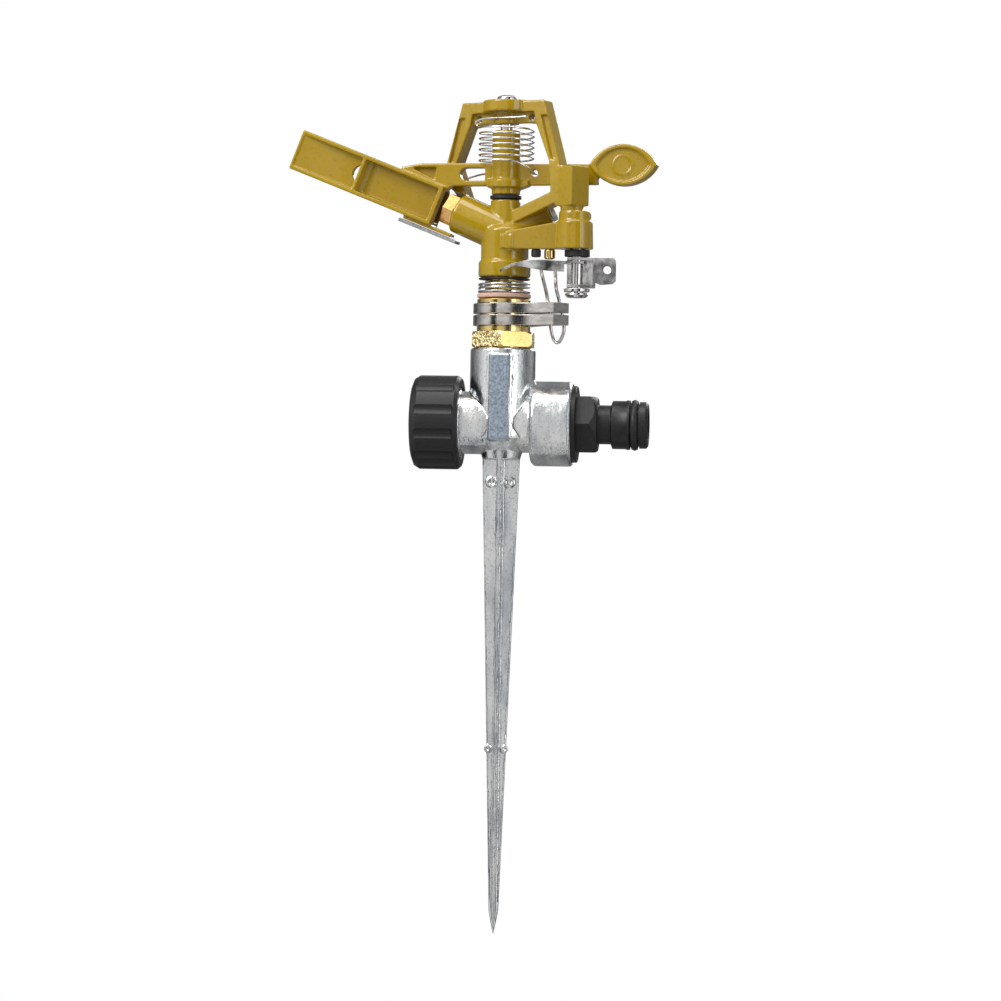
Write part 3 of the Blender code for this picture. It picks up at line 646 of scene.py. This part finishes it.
def base_casting():
    """Zinc hub with its upright socket, the two ports across it and the cross-shaped spike."""
    socket_low, socket_high = SOCKET_Z
    socket = turned([(0.0, socket_high), (SOCKET_R - 0.7, socket_high),
                     (SOCKET_R, socket_high - 0.7), (SOCKET_R, socket_low),
                     (7.4, 3.4), (6.6, 0.4), (0.0, 0.4)])
    boss_low, boss_high = BOSS_X
    ports = along_x(turned([(0.0, boss_high), (BOSS_R - 0.8, boss_high),
                            (BOSS_R, boss_high - 0.8), (BOSS_R, boss_low + 1.2),
                            (BOSS_R - 1.2, boss_low), (10.2, boss_low), (10.2, 0.0),
                            (STUB_R, -0.5), (STUB_R, -14.6), (12.3, -14.6), (12.3, -16.2),
                            (CAP_THREAD_R, -16.2), (CAP_THREAD_R, -23.8),
                            (CAP_THREAD_R - 0.6, -24.4), (0.0, -24.4)]))
    half = PAD_HALF_WIDTH
    pad = flat([[(-half, PAD_FRONT), (half, PAD_FRONT), (half, -6.0), (-half, -6.0)]], *PAD_Z)
    body = union(socket, ports, pad, spike_rib(0.0), turn(spike_rib(0.6), 90.0))
    for z, radius in MARK_SIZES:
        for side in (-1, 1):
            mark = turn(ring(radius - 0.7, radius, 0.0, 1.3, 12), 90.0, "X")
            body = union(body, shift(mark, x=side * MARK_X, z=z))
    well = rod(WATERWAY_R, PORT_Z, 30.0)
    nipple_bore = rod(8.6, 27.8, socket_high + 1.0)
    channel = along_x(rod(7.4, -27.0, 15.0))
    adapter_bore = along_x(rod(10.4, 13.6, 24.0))
    gasket_seat = along_x(rod(13.7, 22.0, boss_high + 1.0))
    body = cut(body, well, nipple_bore, channel, adapter_bore, gasket_seat)
    casting = piece("base_casting", body, "zinc", BASE, "cast")
    repaint(casting, "rough_zinc", lambda centre, normal: normal.y < -0.9 and centre.y < -11.8
            and abs(centre.x) < 3.3)


def hose_adapter():
    """Quick-connect nose with its hexagon and flange, and the thread inside the boss."""
    thread_end, tip = ADAPTER_X
    nose = [(ADAPTER_BORE_R, tip), (7.4, tip), (8.15, 50.6), (8.15, 48.3), (7.2, 48.3),
            (7.2, 45.0), (8.65, 45.0), (8.65, 43.9), (8.4, 43.4), (8.4, 38.9), (6.8, 38.3),
            (6.8, 33.5), (9.2, 32.0), (9.2, 26.6), (13.2, 26.6), (13.4, 26.4), (13.4, 24.2),
            (10.1, 24.2), (10.1, thread_end), (ADAPTER_BORE_R, thread_end)]
    body = along_x(turned(nose))
    hexagon = shift(turn(prism(6, 19.4, 25.4, 33.8, 30.0), 90.0, "Y"), z=PORT_Z)
    cone = along_x(turned([(0.0, 34.0), (9.0, 34.0), (11.4, 31.0), (11.4, 25.0), (0.0, 25.0)]))
    hexagon = common(hexagon, cone)
    hexagon = cut(hexagon, along_x(rod(ADAPTER_BORE_R + 0.6, 20.0, 40.0)))
    piece("hose_adapter", union(body, hexagon), "black_plastic", BASE)
    seal = along_x(ring(10.4, 13.3, 22.4, 23.9))
    piece("adapter_gasket", seal, "rubber", BASE)
    oring = along_x(turned([(7.5, 47.9), (8.5, 47.7), (8.95, 46.7), (8.5, 45.6),
                            (7.5, 45.3)]))
    piece("nose_o_ring", oring, "rubber", BASE, "plain")


def end_cap():
    """Grooved cap, and the gasket that it presses on the stub."""
    left, right = CAP_X
    shell = [(0.0, right), (CAP_R - 1.0, right), (CAP_R, right - 1.2), (CAP_R, left + 2.6),
             (CAP_R - 1.1, left + 0.8), (CAP_R - 3.2, left), (0.0, left)]
    body = along_x(turned(shell, 2 * ROUND))
    hollow = along_x(rod(CAP_THREAD_R + 0.6, left + 3.4, right + 1.0))
    body = cut(body, hollow)
    for i in range(CAP_FLUTES):
        groove = shift(rod(FLUTE_R, -3.0, 12.2, SMALL_ROUND, 1.1), x=CAP_R + 1.9)
        groove = turn(groove, 360.0 * (i + 0.5) / CAP_FLUTES)
        body = cut(body, shift(turn(groove, 90.0, "Y"), x=left + 4.0, z=PORT_Z))
    piece("end_cap", body, "black_plastic", CAP)
    gasket = along_x(ring(5.0, 11.8, left + 3.8, left + 6.2))
    piece("cap_gasket", gasket, "rubber", CAP_GASKET)


# ---------------------------------------------------------------- bearing stack

def bearing_nipple():
    """Fixed brass nipple with grooves for the collars; every other hexagon side is as cast."""
    body = turned([(5.2, 56.4), (8.9, 56.4), (9.35, 56.0), (9.35, 54.9), (8.5, 54.8),
                   (8.5, 46.7), (9.35, 46.6), (9.35, 44.9), (8.3, 44.8), (8.3, 28.6),
                   (7.2, 28.2), (7.2, 34.5), (5.2, 34.5)])
    nut = prism(6, HEX_ACROSS_FLATS, *NIPPLE_HEX_Z, NIPPLE_HEX_ANGLE)
    limit = turned([(0.0, 45.0), (10.9, 45.0), (12.2, 43.6), (12.2, 40.5), (11.2, 39.0),
                    (0.0, 39.0)], 36)
    nut = common(nut, limit)
    nut = cut(nut, rod(6.5, 38.0, 46.0))
    nipple = piece("bearing_nipple", union(body, nut), "brass", BASE)
    repaint(nipple, "rough_brass", lambda centre, normal: abs(normal.z) < 0.05
            and 39.9 < centre.z < 44.4 and hex_side(normal) % 2 == 1)


def hex_side(normal):
    """Which of the nut's six sides a face looks out of, counted from the first."""
    angle = math.degrees(math.atan2(normal.y, normal.x)) - NIPPLE_HEX_ANGLE - 30.0
    return round(angle / 60.0)


def collar_outline(inner):
    """Teardrop round the nipple: an arc that runs straight into the two ears."""
    if inner:
        band, near, reach, half = (8.9, 18.0, 342.0), 17.5, EAR_SLOT_REACH, EAR_SLOT_HALF
    else:
        band, near, reach, half = (10.7, 48.0, 312.0), 15.6, EAR_REACH, EAR_HALF
    ears = [(near, -half), (reach, -half), (reach, half), (near, half)]
    return arc(0.0, 0.0, *band, STRAP_STEPS) + ears


def collars():
    for home, (low, high) in zip(COLLARS, COLLAR_Z):
        strap = flat([collar_outline(False), collar_outline(True)], low, high)
        piece(home[0], strap, "strap_steel", home)


def bearing_stack():
    """What turns with the head between the collars and the skirt, from the bottom up."""
    piece("fibre_washer", ring(7.4, 9.4, *FIBRE_WASHER_Z, chamfer=0.3), "fibre", HEAD)
    piece("steel_washer", ring(7.4, 9.2, *STEEL_WASHER_Z), "steel", HEAD)
    coil = helix(BEARING_SPRING_R, *BEARING_SPRING_Z, BEARING_SPRING_TURNS,
                 BEARING_SPRING_START, 64)
    piece("bearing_spring", wire(coil, BEARING_WIRE_R), "steel", HEAD, "plain")
    piece("seal_washer", ring(5.9, 9.0, *SEAL_WASHER_Z), "rubber", HEAD)
    sleeve = turned([(BORE_R, 70.5), (5.5, 70.5), (5.5, 62.8), (6.2, 62.8), (6.2, 57.2),
                     (4.8, 56.9), (4.8, 32.2), (6.7, 32.2), (6.7, 30.0), (BORE_R, 30.0)],
                    SMALL_ROUND)
    nut = cut(prism(6, 12.2, *SLEEVE_HEX_Z, 12.0), rod(4.0, 50.0, 70.0))
    piece("bearing_sleeve", union(sleeve, nut), "brass", HEAD)
    piece("sleeve_seal", ring(5.3, 6.9, *SLEEVE_SEAL_Z), "rubber", HEAD)


# ---------------------------------------------------------------- head

def along_barrel(obj):
    """Carries a piece made about Z to the barrel's rising axis, mouth outwards."""
    turn(obj, -(90.0 - BARREL_RISE), "Y")
    return turn(shift(obj, z=BARREL_AXIS_Z), BARREL_TURN)


def bridge_outline():
    """The hoop over the arm's hub; its right leg runs on down to the trip's bracket."""
    top = BRIDGE_TOP_Z
    inner_top = BRIDGE_INNER_Z
    return [(-16.4, top), (16.4, top), (22.6, 104.0), (25.0, 92.6), (21.4, 89.4),
            (4.0, 82.4), (0.0, 82.4), (0.0, 86.6), (3.0, 86.6), (19.4, 93.2), (18.6, 104.0),
            (13.6, inner_top - 1.2), (12.4, inner_top), (-12.4, inner_top),
            (-13.6, inner_top - 1.2), (-18.6, 104.0), (-14.0, 91.5), (-10.0, 87.0),
            (-14.0, 84.6), (-19.8, 92.2), (-22.6, 104.0)]


def bridge():
    """Hoop with its top hollowed at the front and back, and the spring's two holes."""
    hoop = upright([bridge_outline()], -BRIDGE_HALF_DEPTH, BRIDGE_HALF_DEPTH)
    low = BRIDGE_INNER_Z - 1.0
    back = upright([[(-9.0, low), (9.0, low), (9.0, RECESS_TOP_Z), (-9.0, RECESS_TOP_Z)]],
                   1.2, 6.0)
    front = upright([[(-13.2, low), (13.2, low), (12.4, RECESS_TOP_Z),
                      (-12.4, RECESS_TOP_Z)]], -6.0, -1.2)
    boss = rod(8.4, 121.6, BRIDGE_TOP_Z + 0.3, COARSE_ROUND)
    sleeve = rod(4.4, 117.4, 124.0, SMALL_ROUND)
    hoop = union(cut(hoop, back, front), boss, sleeve)
    hole_x, hole_z = SPRING_HOLE
    for side in (-1, 1):
        groove = upright([[(side * 15.2, 120.0), (side * 17.7, 120.0), (side * 21.6, 104.4),
                           (side * 19.5, 104.4)]], -6.0, -1.9)
        hole = turn(rod(1.2, -4.0, 4.0, 10), 90.0, "X")
        hoop = cut(hoop, groove, shift(hole, x=side * hole_x, z=hole_z))
    return hoop


def trip_bracket():
    """The bar that carries the trip's shaft to the right of the body, with the shaft's boss."""
    bottom = BRACKET_Z
    side = [(0.0, bottom), (BRACKET_LENGTH, bottom), (BRACKET_LENGTH, 83.6), (18.5, 82.9),
            (0.8, 79.5), (0.0, 78.7)]
    bar = upright([side], -2.2, 2.2)
    bar = shift(turn(bar, BRACKET_TURN), x=4.2, y=-7.0)
    x, y = TRIP_BOSS
    boss = turned([(0.0, 86.5), (5.2, 86.5), (5.6, 86.1), (5.7, 83.2), (6.2, 82.8),
                   (6.5, bottom), (0.0, bottom)], COARSE_ROUND)
    root = box((3.2, -8.6, 73.7), (7.6, -2.0, 78.3))
    return union(bar, shift(boss, x=x, y=y), root)


def trip_block():
    """The square block that stands on the shaft's boss."""
    block = box((-4.2, -4.2, 88.2), (4.2, 4.2, 101.9))
    foot = rod(4.0, 86.9, 89.0, SMALL_ROUND)
    block = turn(union(block, foot), BLOCK_TURN)
    return shift(block, x=TRIP_BOSS[0] - 0.4, y=TRIP_BOSS[1] - 1.6)


def along_plug(obj):
    """Carries a piece made about Z to the rear plug's axis, head outwards."""
    return turn(shift(turn(obj, PLUG_TILT, "Y"), z=PLUG_Z), PLUG_TURN)


def head_casting():
    """Body, barrel, plug boss, bridge and bracket in one, with the water's way through them."""
    body = turned([(0.0, 91.0), (NECK_R - 0.4, 91.0), (NECK_R, 90.6), (NECK_R, 83.0),
                   (BODY_R - 0.6, 81.2), (BODY_R, 80.4), (BODY_R, 69.8), (SKIRT_R, 69.2),
                   (SKIRT_R, 64.4), (SKIRT_R - 0.5, 63.9), (0.0, 63.9)])
    barrel = along_barrel(rod(BARREL_R, 0.0, BARREL_LENGTH, COARSE_ROUND, 0.5))
    plug_boss = along_plug(rod(5.6, 0.0, 17.0, SMALL_ROUND, 0.5))
    body = union(body, barrel, plug_boss, bridge(), trip_bracket(), trip_block())
    well = rod(6.2, 62.0, 72.0, SMALL_ROUND)
    riser = rod(4.2, 71.0, 79.5, SMALL_ROUND)
    waterway = along_barrel(rod(4.2, 0.0, 30.0, SMALL_ROUND))
    nozzle_seat = along_barrel(rod(4.9, 12.0, 30.0, SMALL_ROUND))
    nut_room = along_barrel(rod(6.7, BARREL_LENGTH, 28.0, SMALL_ROUND))
    shaft_hole = at_shaft(rod(SHAFT_R + GAP, 70.0, 84.0, SMALL_ROUND))
    pin_hole = rod(PIN_R + GAP, 84.5, 130.0, SMALL_ROUND)
    body = cut(body, well, riser, waterway, nozzle_seat, nut_room, shaft_hole, pin_hole)
    piece("head_casting", body, "paint", HEAD, "cast")


def head_fittings():
    """Nozzle with its hexagon, rear plug, riveted pivot pin and the washer under the arm."""
    nozzle = along_barrel(turned([(2.4, 23.5), (4.2, 23.5), (4.2, 20.0), (4.6, 18.6),
                                  (4.6, 12.4), (3.2, 12.4)], SMALL_ROUND))
    nut = along_barrel(cut(prism(6, 10.5, 19.3, 23.2, 30.0), rod(3.6, 18.0, 26.0, 12)))
    piece("main_nozzle", union(nozzle, nut), "orange_brass", HEAD, edge=0.5)
    piece("rear_plug", along_plug(rod(3.4, 17.3, 19.4, 6, 0.3)), "steel", HEAD)
    pin = turned([(0.0, 127.6), (2.4, 127.5), (3.4, 127.0), (3.65, 126.2), (3.65, 125.9),
                  (PIN_R, 125.9), (PIN_R, 85.0), (0.0, 85.0)], SMALL_ROUND)
    piece("pivot_pin", pin, "steel", HEAD)
    piece("arm_lower_washer", ring(2.6, 5.5, 91.3, 92.5, SMALL_ROUND), "rubber", HEAD)


# ---------------------------------------------------------------- impact arm

def spoon_point(along, across):
    """Where a point of the spoon's own axes lies in the arm's (x, z) plane."""
    tilt = math.radians(SPOON_TILT)
    return (along * math.cos(tilt) + across * math.sin(tilt),
            SPOON_Z - along * math.sin(tilt) + across * math.cos(tilt))


def tilted(obj):
    """Carries a piece modelled along the spoon's own axes to its slope on the arm."""
    return shift(turn(obj, SPOON_TILT, "Y"), z=SPOON_Z)


def vane_face(depth):
    """Plan of the long vane that turns the jet aside: it sinks in a curve towards the tab."""
    tip, root = VANE_X
    points = []
    for i in range(VANE_STEPS + 1):
        along = tip + (root - tip) * i / VANE_STEPS
        share = (along - root) / (tip - root)
        points.append((along, depth - VANE_SINK * share ** 2))
    return points


def spoon():
    """Two-chambered spoon: a pocket and a vane in front, the jet's channel behind them."""
    left, right = SPOON_X
    half = SPOON_HALF
    inner = half - PLATE
    whole = box((left, -SPOON_DEPTH, -half), (right, SPOON_DEPTH, half))
    pad = box((-35.5, -4.0, -half - PAD_DROP), (right, 4.0, -half + 0.3))
    tongue = box((right - 1.5, -4.0, -half - PAD_DROP), (-17.0, 4.0, -half))
    whole = union(whole, pad, tongue)
    corner = arc(-50.2, -7.0, 5.0, 180.0, 90.0, POCKET_STEPS)
    pocket = [(-55.2, -9.0)] + corner + [(-26.8, -2.0), (-26.8, -9.0)]
    hollow = [(VANE_X[0], -9.0)] + vane_face(-3.5) + [(TAB_X, -3.5), (TAB_X, -9.0)]
    channel = [(-57.0, -1.7), (-57.0, -0.7), (-20.0, -0.7), (-20.0, 4.8), (-38.1, 4.8),
               (-38.1, 9.0)]
    rear = [(-78.8, 9.0)] + vane_face(-1.7)[1:] + channel
    for outline in (pocket, hollow, rear):
        whole = cut(whole, flat([outline], -inner, inner))
    jet_hole = turn(rod(3.3, -THROUGH, THROUGH, SMALL_ROUND), 90.0, "X")
    left_part = box((-62.0, -10.0, -6.0), (TAB_X - 0.02, 10.0, 6.0))
    whole = cut(whole, common(shift(jet_hole, x=-55.2, z=0.2), left_part))
    leg_room = box((-21.6, 1.6, 78.0), (-16.0, 9.0, 104.0))
    return cut(tilted(whole), leg_room)


def lens_outline(scale=1.0):
    """Two arcs that meet in points at the left and right."""
    half_x, half_z = (LENS_HALF[0] - 1.0) * scale, LENS_HALF[1] * scale
    radius = (half_x ** 2 + half_z ** 2) / (2 * half_z)
    spread = math.degrees(math.asin(half_x / radius))
    upper = arc(0.0, half_z - radius, radius, 90.0 - spread, 90.0 + spread, LENS_STEPS)
    lower = arc(0.0, radius - half_z, radius, 270.0 - spread, 270.0 + spread, LENS_STEPS)
    points = upper[:-1] + lower[:-1]
    return [(LENS_X + x, LENS_Z + z) for x, z in points]


def lens():
    """The paddle that balances the arm: a dished plate with a raised rim and a ring."""
    disc = upright([lens_outline()], -3.0, 3.0)
    disc = cut(disc, upright([lens_outline(0.8)], -6.0, -2.0))
    mark = turn(ring(3.0, 3.6, 1.6, 2.2, 20), 90.0, "X")
    return union(disc, shift(mark, x=LENS_X, z=LENS_Z))


def beam():
    """Flat bar from the spoon to the paddle, thicker in front where it carries the spoon."""
    low, high = BEAM_Z
    left_joint = spoon_point(-42.0, SPOON_HALF - 0.8)
    right_joint = spoon_point(-27.0, SPOON_HALF - 0.8)
    left_end = [(-30.0, high), (-37.0, 102.6), left_joint, right_joint, (-21.6, low - 1.9)]
    bar = upright([left_end + [(-18.6, low), (33.0, low + 0.4), (33.0, high - 0.4)]],
                  -BEAM_HALF, BEAM_HALF)
    thick = upright([left_end + [(-18.6, low), (-4.0, low), (-4.0, high)]], BEAM_FRONT, 0.0)
    return bar, thick


def beam_hollows():
    """The slot that shows the spring's hook, the triangular recess and the spring's hole."""
    slot = arc(-13.8, 99.9, 2.2, 270.0, 90.0, 9) + [(-7.0, 102.1), (-7.0, 97.7)]
    slot = upright([slot], -THROUGH, THROUGH)
    hole_x, hole_z = ANCHOR_HOLE
    anchor = shift(turn(rod(1.2, -4.0, 4.0, SMALL_ROUND), 90.0, "X"), x=hole_x, z=hole_z)
    recess = upright([[(-34.0, 102.5), (-24.4, 102.4), (-25.2, 98.2)]], -THROUGH, -0.9)
    return slot, recess, anchor


def impact_arm():
    """Hub, beam, spoon and paddle in one casting."""
    low = BEAM_Z[0]
    hub = turned([(0.0, ARM_HUB_Z[1]), (ARM_HUB_R, ARM_HUB_Z[1]), (ARM_HUB_R, ARM_HUB_Z[0]),
                  (0.0, ARM_HUB_Z[0])], COARSE_ROUND)
    belly = upright([[(4.0, low - 1.6), (8.5, low), (8.5, low + 1.8), (4.0, low + 1.8)]],
                    -BEAM_HALF - 1.0, BEAM_HALF + 1.0)
    collar = rod(6.4, low - 0.6, low + 2.2, COARSE_ROUND)
    body = union(hub, *beam(), belly, collar, spoon(), lens())
    bush_bore = rod(3.4, 90.0, 120.0, SMALL_ROUND)
    piece("impact_arm", cut(body, *beam_hollows(), bush_bore), "paint", ARM, "cast")


def arm_fittings():
    """The bush inside the hub and the steel strip under the spoon."""
    bush = ring(2.5, 3.1, ARM_HUB_Z[0] + 0.2, ARM_HUB_Z[1] - 0.2, SMALL_ROUND)
    piece("arm_bush", bush, "brass", ARM)
    below = -SPOON_HALF - PAD_DROP - GAP
    strip = tilted(box((-36.9, -3.6, below - STRIP_THICKNESS), (-14.7, 3.6, below)))
    piece("wear_strip", strip, "steel", ARM)


def arm_spring():
    """Torsion spring round the hub, from the arm's hole to the front of the bridge."""
    coil = helix(SPRING_R, *SPRING_Z, SPRING_TURNS, SPRING_START, SPRING_STEPS)
    lead = smooth_path([coil[-1], (-9.9, -3.6, 117.1), (-10.3, -4.0, 118.5), (-6.0, -4.6, 119.4),
                        (6.0, -4.6, 119.4), (10.2, -4.2, 119.5)], 8)
    hook = [(-14.2, 1.9, 98.8), (-12.0, 2.4, 99.6), (-9.0, 4.4, 100.6), (-5.0, 6.4, 101.0),
            (0.0, 7.0, 101.0), (4.5, 6.5, 100.9), (8.8, 4.4, 100.6), (10.4, 1.9, 100.3),
            (10.4, -1.9, 100.4), (9.6, -3.9, 101.3), (7.2, -6.8, 102.9)]
    from_arm = Matrix.Rotation(math.radians(ARM[1] - HEAD[1]), 3, "Z")
    hook = smooth_path([from_arm @ Vector(p) for p in hook] + [Vector(coil[0])], 8)
    path = [tuple(p) for p in hook[:-1]] + coil + [tuple(p) for p in lead[1:]]
    piece("arm_spring", wire(path, SPRING_WIRE_R), "steel", HEAD, "spring")


# ---------------------------------------------------------------- trip assembly

def at_shaft(obj, angle=0.0):
    """Turns a piece modelled round its own shaft and carries it to the trip's axis."""
    return shift(turn(obj, angle), x=TRIP_X, y=TRIP_Y)


def trip_blade():
    """Long sheet-metal tongue that lies in front of the body and bends down at its tip."""
    side = [(-3.4, 69.1), (4.0, 69.15), (12.0, 69.5), (15.4, 69.4), (20.0, 68.7), (23.2, 67.8),
            (26.8, 65.9), (26.6, 65.1), (22.8, 66.9), (19.8, 67.8), (15.4, 68.5), (12.0, 68.6),
            (-3.4, 68.2)]
    sheet = upright([side], -4.0, 4.0)
    plan = flat([[(26.4, 1.1), (27.2, 0.0), (26.4, -1.1), (4.5, -3.1), (-2.4, -3.1),
                  (-3.5, 0.0), (-2.4, 3.1), (3.8, 3.1), (5.0, 2.2), (20.0, 2.2)]], 60.0, 72.0)
    sheet = common(sheet, plan)
    lip = [(4.4, 68.8), (14.5, 68.9), (20.0, 68.2), (23.0, 67.3), (19.0, 67.0), (14.0, 66.2),
           (10.0, 65.7), (4.4, 65.5)]
    sheet = union(sheet, upright([lip], 1.25, 2.15))
    return at_shaft(cut(sheet, rod(SHAFT_R + GAP, 60.0, 73.0, SMALL_ROUND)), BLADE_ANGLE)


def trip_clamp():
    """Folded bracket round the shaft, with a drilled lug that points away from the body."""
    flange = [(-3.4, -2.4), (-2.0, -3.2), (6.4, -3.2), (6.4, 4.6), (-3.4, 4.6)]
    lower = flat([flange], 60.2, 61.1)
    upper = flat([flange], 69.5, 70.4)
    back = box((-3.4, 3.7, 60.2), (6.4, 4.6, 70.4))
    cheek = box((5.5, -3.2, 60.2), (6.4, 4.6, 70.4))
    lug = upright([[(5.6, 62.0), (8.2, 61.0), (12.4, 61.4), (13.4, 62.4), (13.4, 69.4),
                    (12.6, 70.4), (5.6, 70.4)]], -3.2, -2.2)
    body = union(lower, upper, back, cheek, lug)
    hole = shift(turn(rod(1.4, -THROUGH, THROUGH, 12), 90.0, "X"), x=10.4, z=66.2)
    body = cut(body, rod(SHAFT_R + GAP, 58.0, 72.0, SMALL_ROUND), hole)
    return at_shaft(body, CLAMP_ANGLE)


def trip_wire():
    """Hairpin that hangs from behind the blade past the collars' ears."""
    legs = [(16.7, -3.2, 67.6), (16.2, -2.4, 65.4), (15.4, 2.0, 60.1), (14.7, 4.9, 56.4),
            (15.3, 5.6, 50.5), (15.9, 5.6, 46.0), (17.0, 5.6, 42.6), (18.5, 5.6, 41.3),
            (20.0, 5.6, 42.6), (21.1, 5.6, 46.0), (20.4, 5.6, 50.5), (19.2, 4.9, 56.4),
            (19.7, 2.0, 60.1), (20.9, -1.0, 65.4), (21.0, -1.6, 67.6)]
    return wire([tuple(p) for p in smooth_path(legs, 9)], TRIP_WIRE_R)


def trip_assembly():
    """What turns on the trip's shaft, and the bush, post and bumper under the bracket."""
    shaft = turned([(0.0, 83.2), (SHAFT_R, 83.2), (SHAFT_R, 58.2), (3.9, 58.2), (4.1, 57.5),
                    (3.2, 56.6), (0.0, 56.4)], SMALL_ROUND)
    piece("trip_shaft", at_shaft(shaft), "steel", TRIP)
    washer = ring(SHAFT_R + GAP, 4.5, 58.6, 59.7, SMALL_ROUND)
    piece("shaft_washer", at_shaft(washer), "steel", TRIP)
    piece("trip_clamp", trip_clamp(), "pressed_steel", TRIP)
    piece("trip_blade", trip_blade(), "pressed_steel", TRIP)
    piece("trip_wire", trip_wire(), "steel", TRIP, "plain")
    bush = ring(SHAFT_R + GAP, 4.4, 70.8, BRACKET_Z - GAP, SMALL_ROUND)
    piece("shaft_bush", at_shaft(bush), "rubber", HEAD)
    post = shift(rod(1.9, 69.9, STOP_TOP_Z, SMALL_ROUND, 0.4), x=18.6, y=-1.1)
    piece("trip_post", post, "brass", HEAD)
    bumper = shift(rod(1.7, 70.6, STOP_TOP_Z, SMALL_ROUND, 0.4), x=14.2, y=-2.9)
    piece("trip_bumper", bumper, "rubber", HEAD)


# ---------------------------------------------------------------- studio

# Places in metres, angles in degrees, lens in millimetres
AIM = Vector((0.0, 0.0, -0.014))
CAMERA_AZIMUTH = 6.0
CAMERA_DISTANCE = 1.225
CAMERA_ROLL = 1.0
LENS = 126.0
SENSOR_WIDTH = 36.0
SKY_STRENGTH = 0.8      # of the reflected walls
# Grey of the walls by bearing round the object, as (share of a turn from -X, grey)
WALLS = [(0.0, 0.5), (0.06, 1.0), (0.11, 1.0), (0.14, 0.04), (0.18, 0.03), (0.2, 1.0),
         (0.225, 0.8), (0.27, 0.7), (0.3, 0.08), (0.36, 0.05), (0.38, 1.0), (0.46, 1.0),
         (0.5, 0.15), (0.6, 0.5), (0.68, 0.06), (0.78, 0.35), (0.9, 0.1), (1.0, 0.5)]
# Name, azimuth, elevation, distance in metres, size in metres, watts
SOFTBOXES = (
    ("key", -42.0, 38.0, 0.9, (0.4, 0.6), 6.0),
    ("fill", 48.0, 12.0, 1.1, (0.3, 0.9), 1.6),
    ("top", 10.0, 82.0, 0.9, (0.5, 0.5), 3.2),
    ("rim", 160.0, 30.0, 0.9, (0.4, 0.6), 2.6),
)


def camera():
    data = bpy.data.cameras.new("camera")
    data.lens = LENS
    data.sensor_width = SENSOR_WIDTH
    obj = bpy.data.objects.new("camera", data)
    bpy.context.scene.collection.objects.link(obj)
    azimuth = math.radians(CAMERA_AZIMUTH)
    back = Vector((math.sin(azimuth), -math.cos(azimuth), 0.0))
    look = Matrix.Rotation(azimuth, 4, "Z") @ Matrix.Rotation(math.radians(90.0), 4, "X")
    roll = Matrix.Rotation(math.radians(CAMERA_ROLL), 4, "Z")
    obj.matrix_world = Matrix.Translation(AIM + back * CAMERA_DISTANCE) @ look @ roll
    bpy.context.scene.camera = obj


def softbox(name, azimuth, elevation, distance, size, power):
    """A rectangular light that faces the sprinkler; azimuth 0 is on the camera's side."""
    data = bpy.data.lights.new(name, "AREA")
    data.shape = "RECTANGLE"
    data.size, data.size_y = size
    data.energy = power
    obj = bpy.data.objects.new(name, data)
    bpy.context.scene.collection.objects.link(obj)
    a, e = math.radians(azimuth - 90.0), math.radians(elevation)
    towards = Vector((math.cos(a) * math.cos(e), math.sin(a) * math.cos(e), math.sin(e)))
    obj.location = towards * distance
    obj.rotation_euler = towards.to_track_quat("Z", "Y").to_euler()


def wall_grey(space):
    """What a reflected ray sees: the walls' grey in the direction it goes."""
    links = space.node_tree.links
    coords = place(space, "ShaderNodeTexCoord")
    split = place(space, "ShaderNodeSeparateXYZ")
    links.new(coords.outputs["Generated"], split.inputs["Vector"])
    bearing = place(space, "ShaderNodeMath")
    bearing.operation = "ARCTAN2"
    links.new(split.outputs["Y"], bearing.inputs[0])
    links.new(split.outputs["X"], bearing.inputs[1])
    share = place(space, "ShaderNodeMath")
    share.operation = "MULTIPLY_ADD"
    share.inputs[1].default_value = 0.5 / math.pi
    share.inputs[2].default_value = 0.5
    links.new(bearing.outputs["Value"], share.inputs[0])
    return ramp(space, share.outputs["Value"], WALLS)


def world():
    """White backdrop for the camera; reflections see pale walls with dark gaps between them."""
    space = bpy.data.worlds.new("studio")
    bpy.context.scene.world = space
    space.use_nodes = True
    space.node_tree.nodes.clear()
    links = space.node_tree.links
    reflected = place(space, "ShaderNodeBackground", Strength=SKY_STRENGTH)
    links.new(wall_grey(space), reflected.inputs["Color"])
    backdrop = place(space, "ShaderNodeBackground", Strength=1.0, Color=(1.0, 1.0, 1.0, 1.0))
    rays = place(space, "ShaderNodeLightPath")
    choice = place(space, "ShaderNodeMixShader")
    links.new(rays.outputs["Is Camera Ray"], choice.inputs["Fac"])
    links.new(reflected.outputs["Background"], choice.inputs[1])
    links.new(backdrop.outputs["Background"], choice.inputs[2])
    output = place(space, "ShaderNodeOutputWorld")
    links.new(choice.outputs["Shader"], output.inputs["Surface"])


def studio():
    bpy.context.scene.view_settings.view_transform = "Standard"
    camera()
    world()
    for lamp in SOFTBOXES:
        softbox(*lamp)


def build():
    base_casting()
    hose_adapter()
    end_cap()
    bearing_nipple()
    collars()
    bearing_stack()
    head_casting()
    head_fittings()
    impact_arm()
    arm_fittings()
    arm_spring()
    trip_assembly()


studio()
build()
bpy.context.view_layer.update()
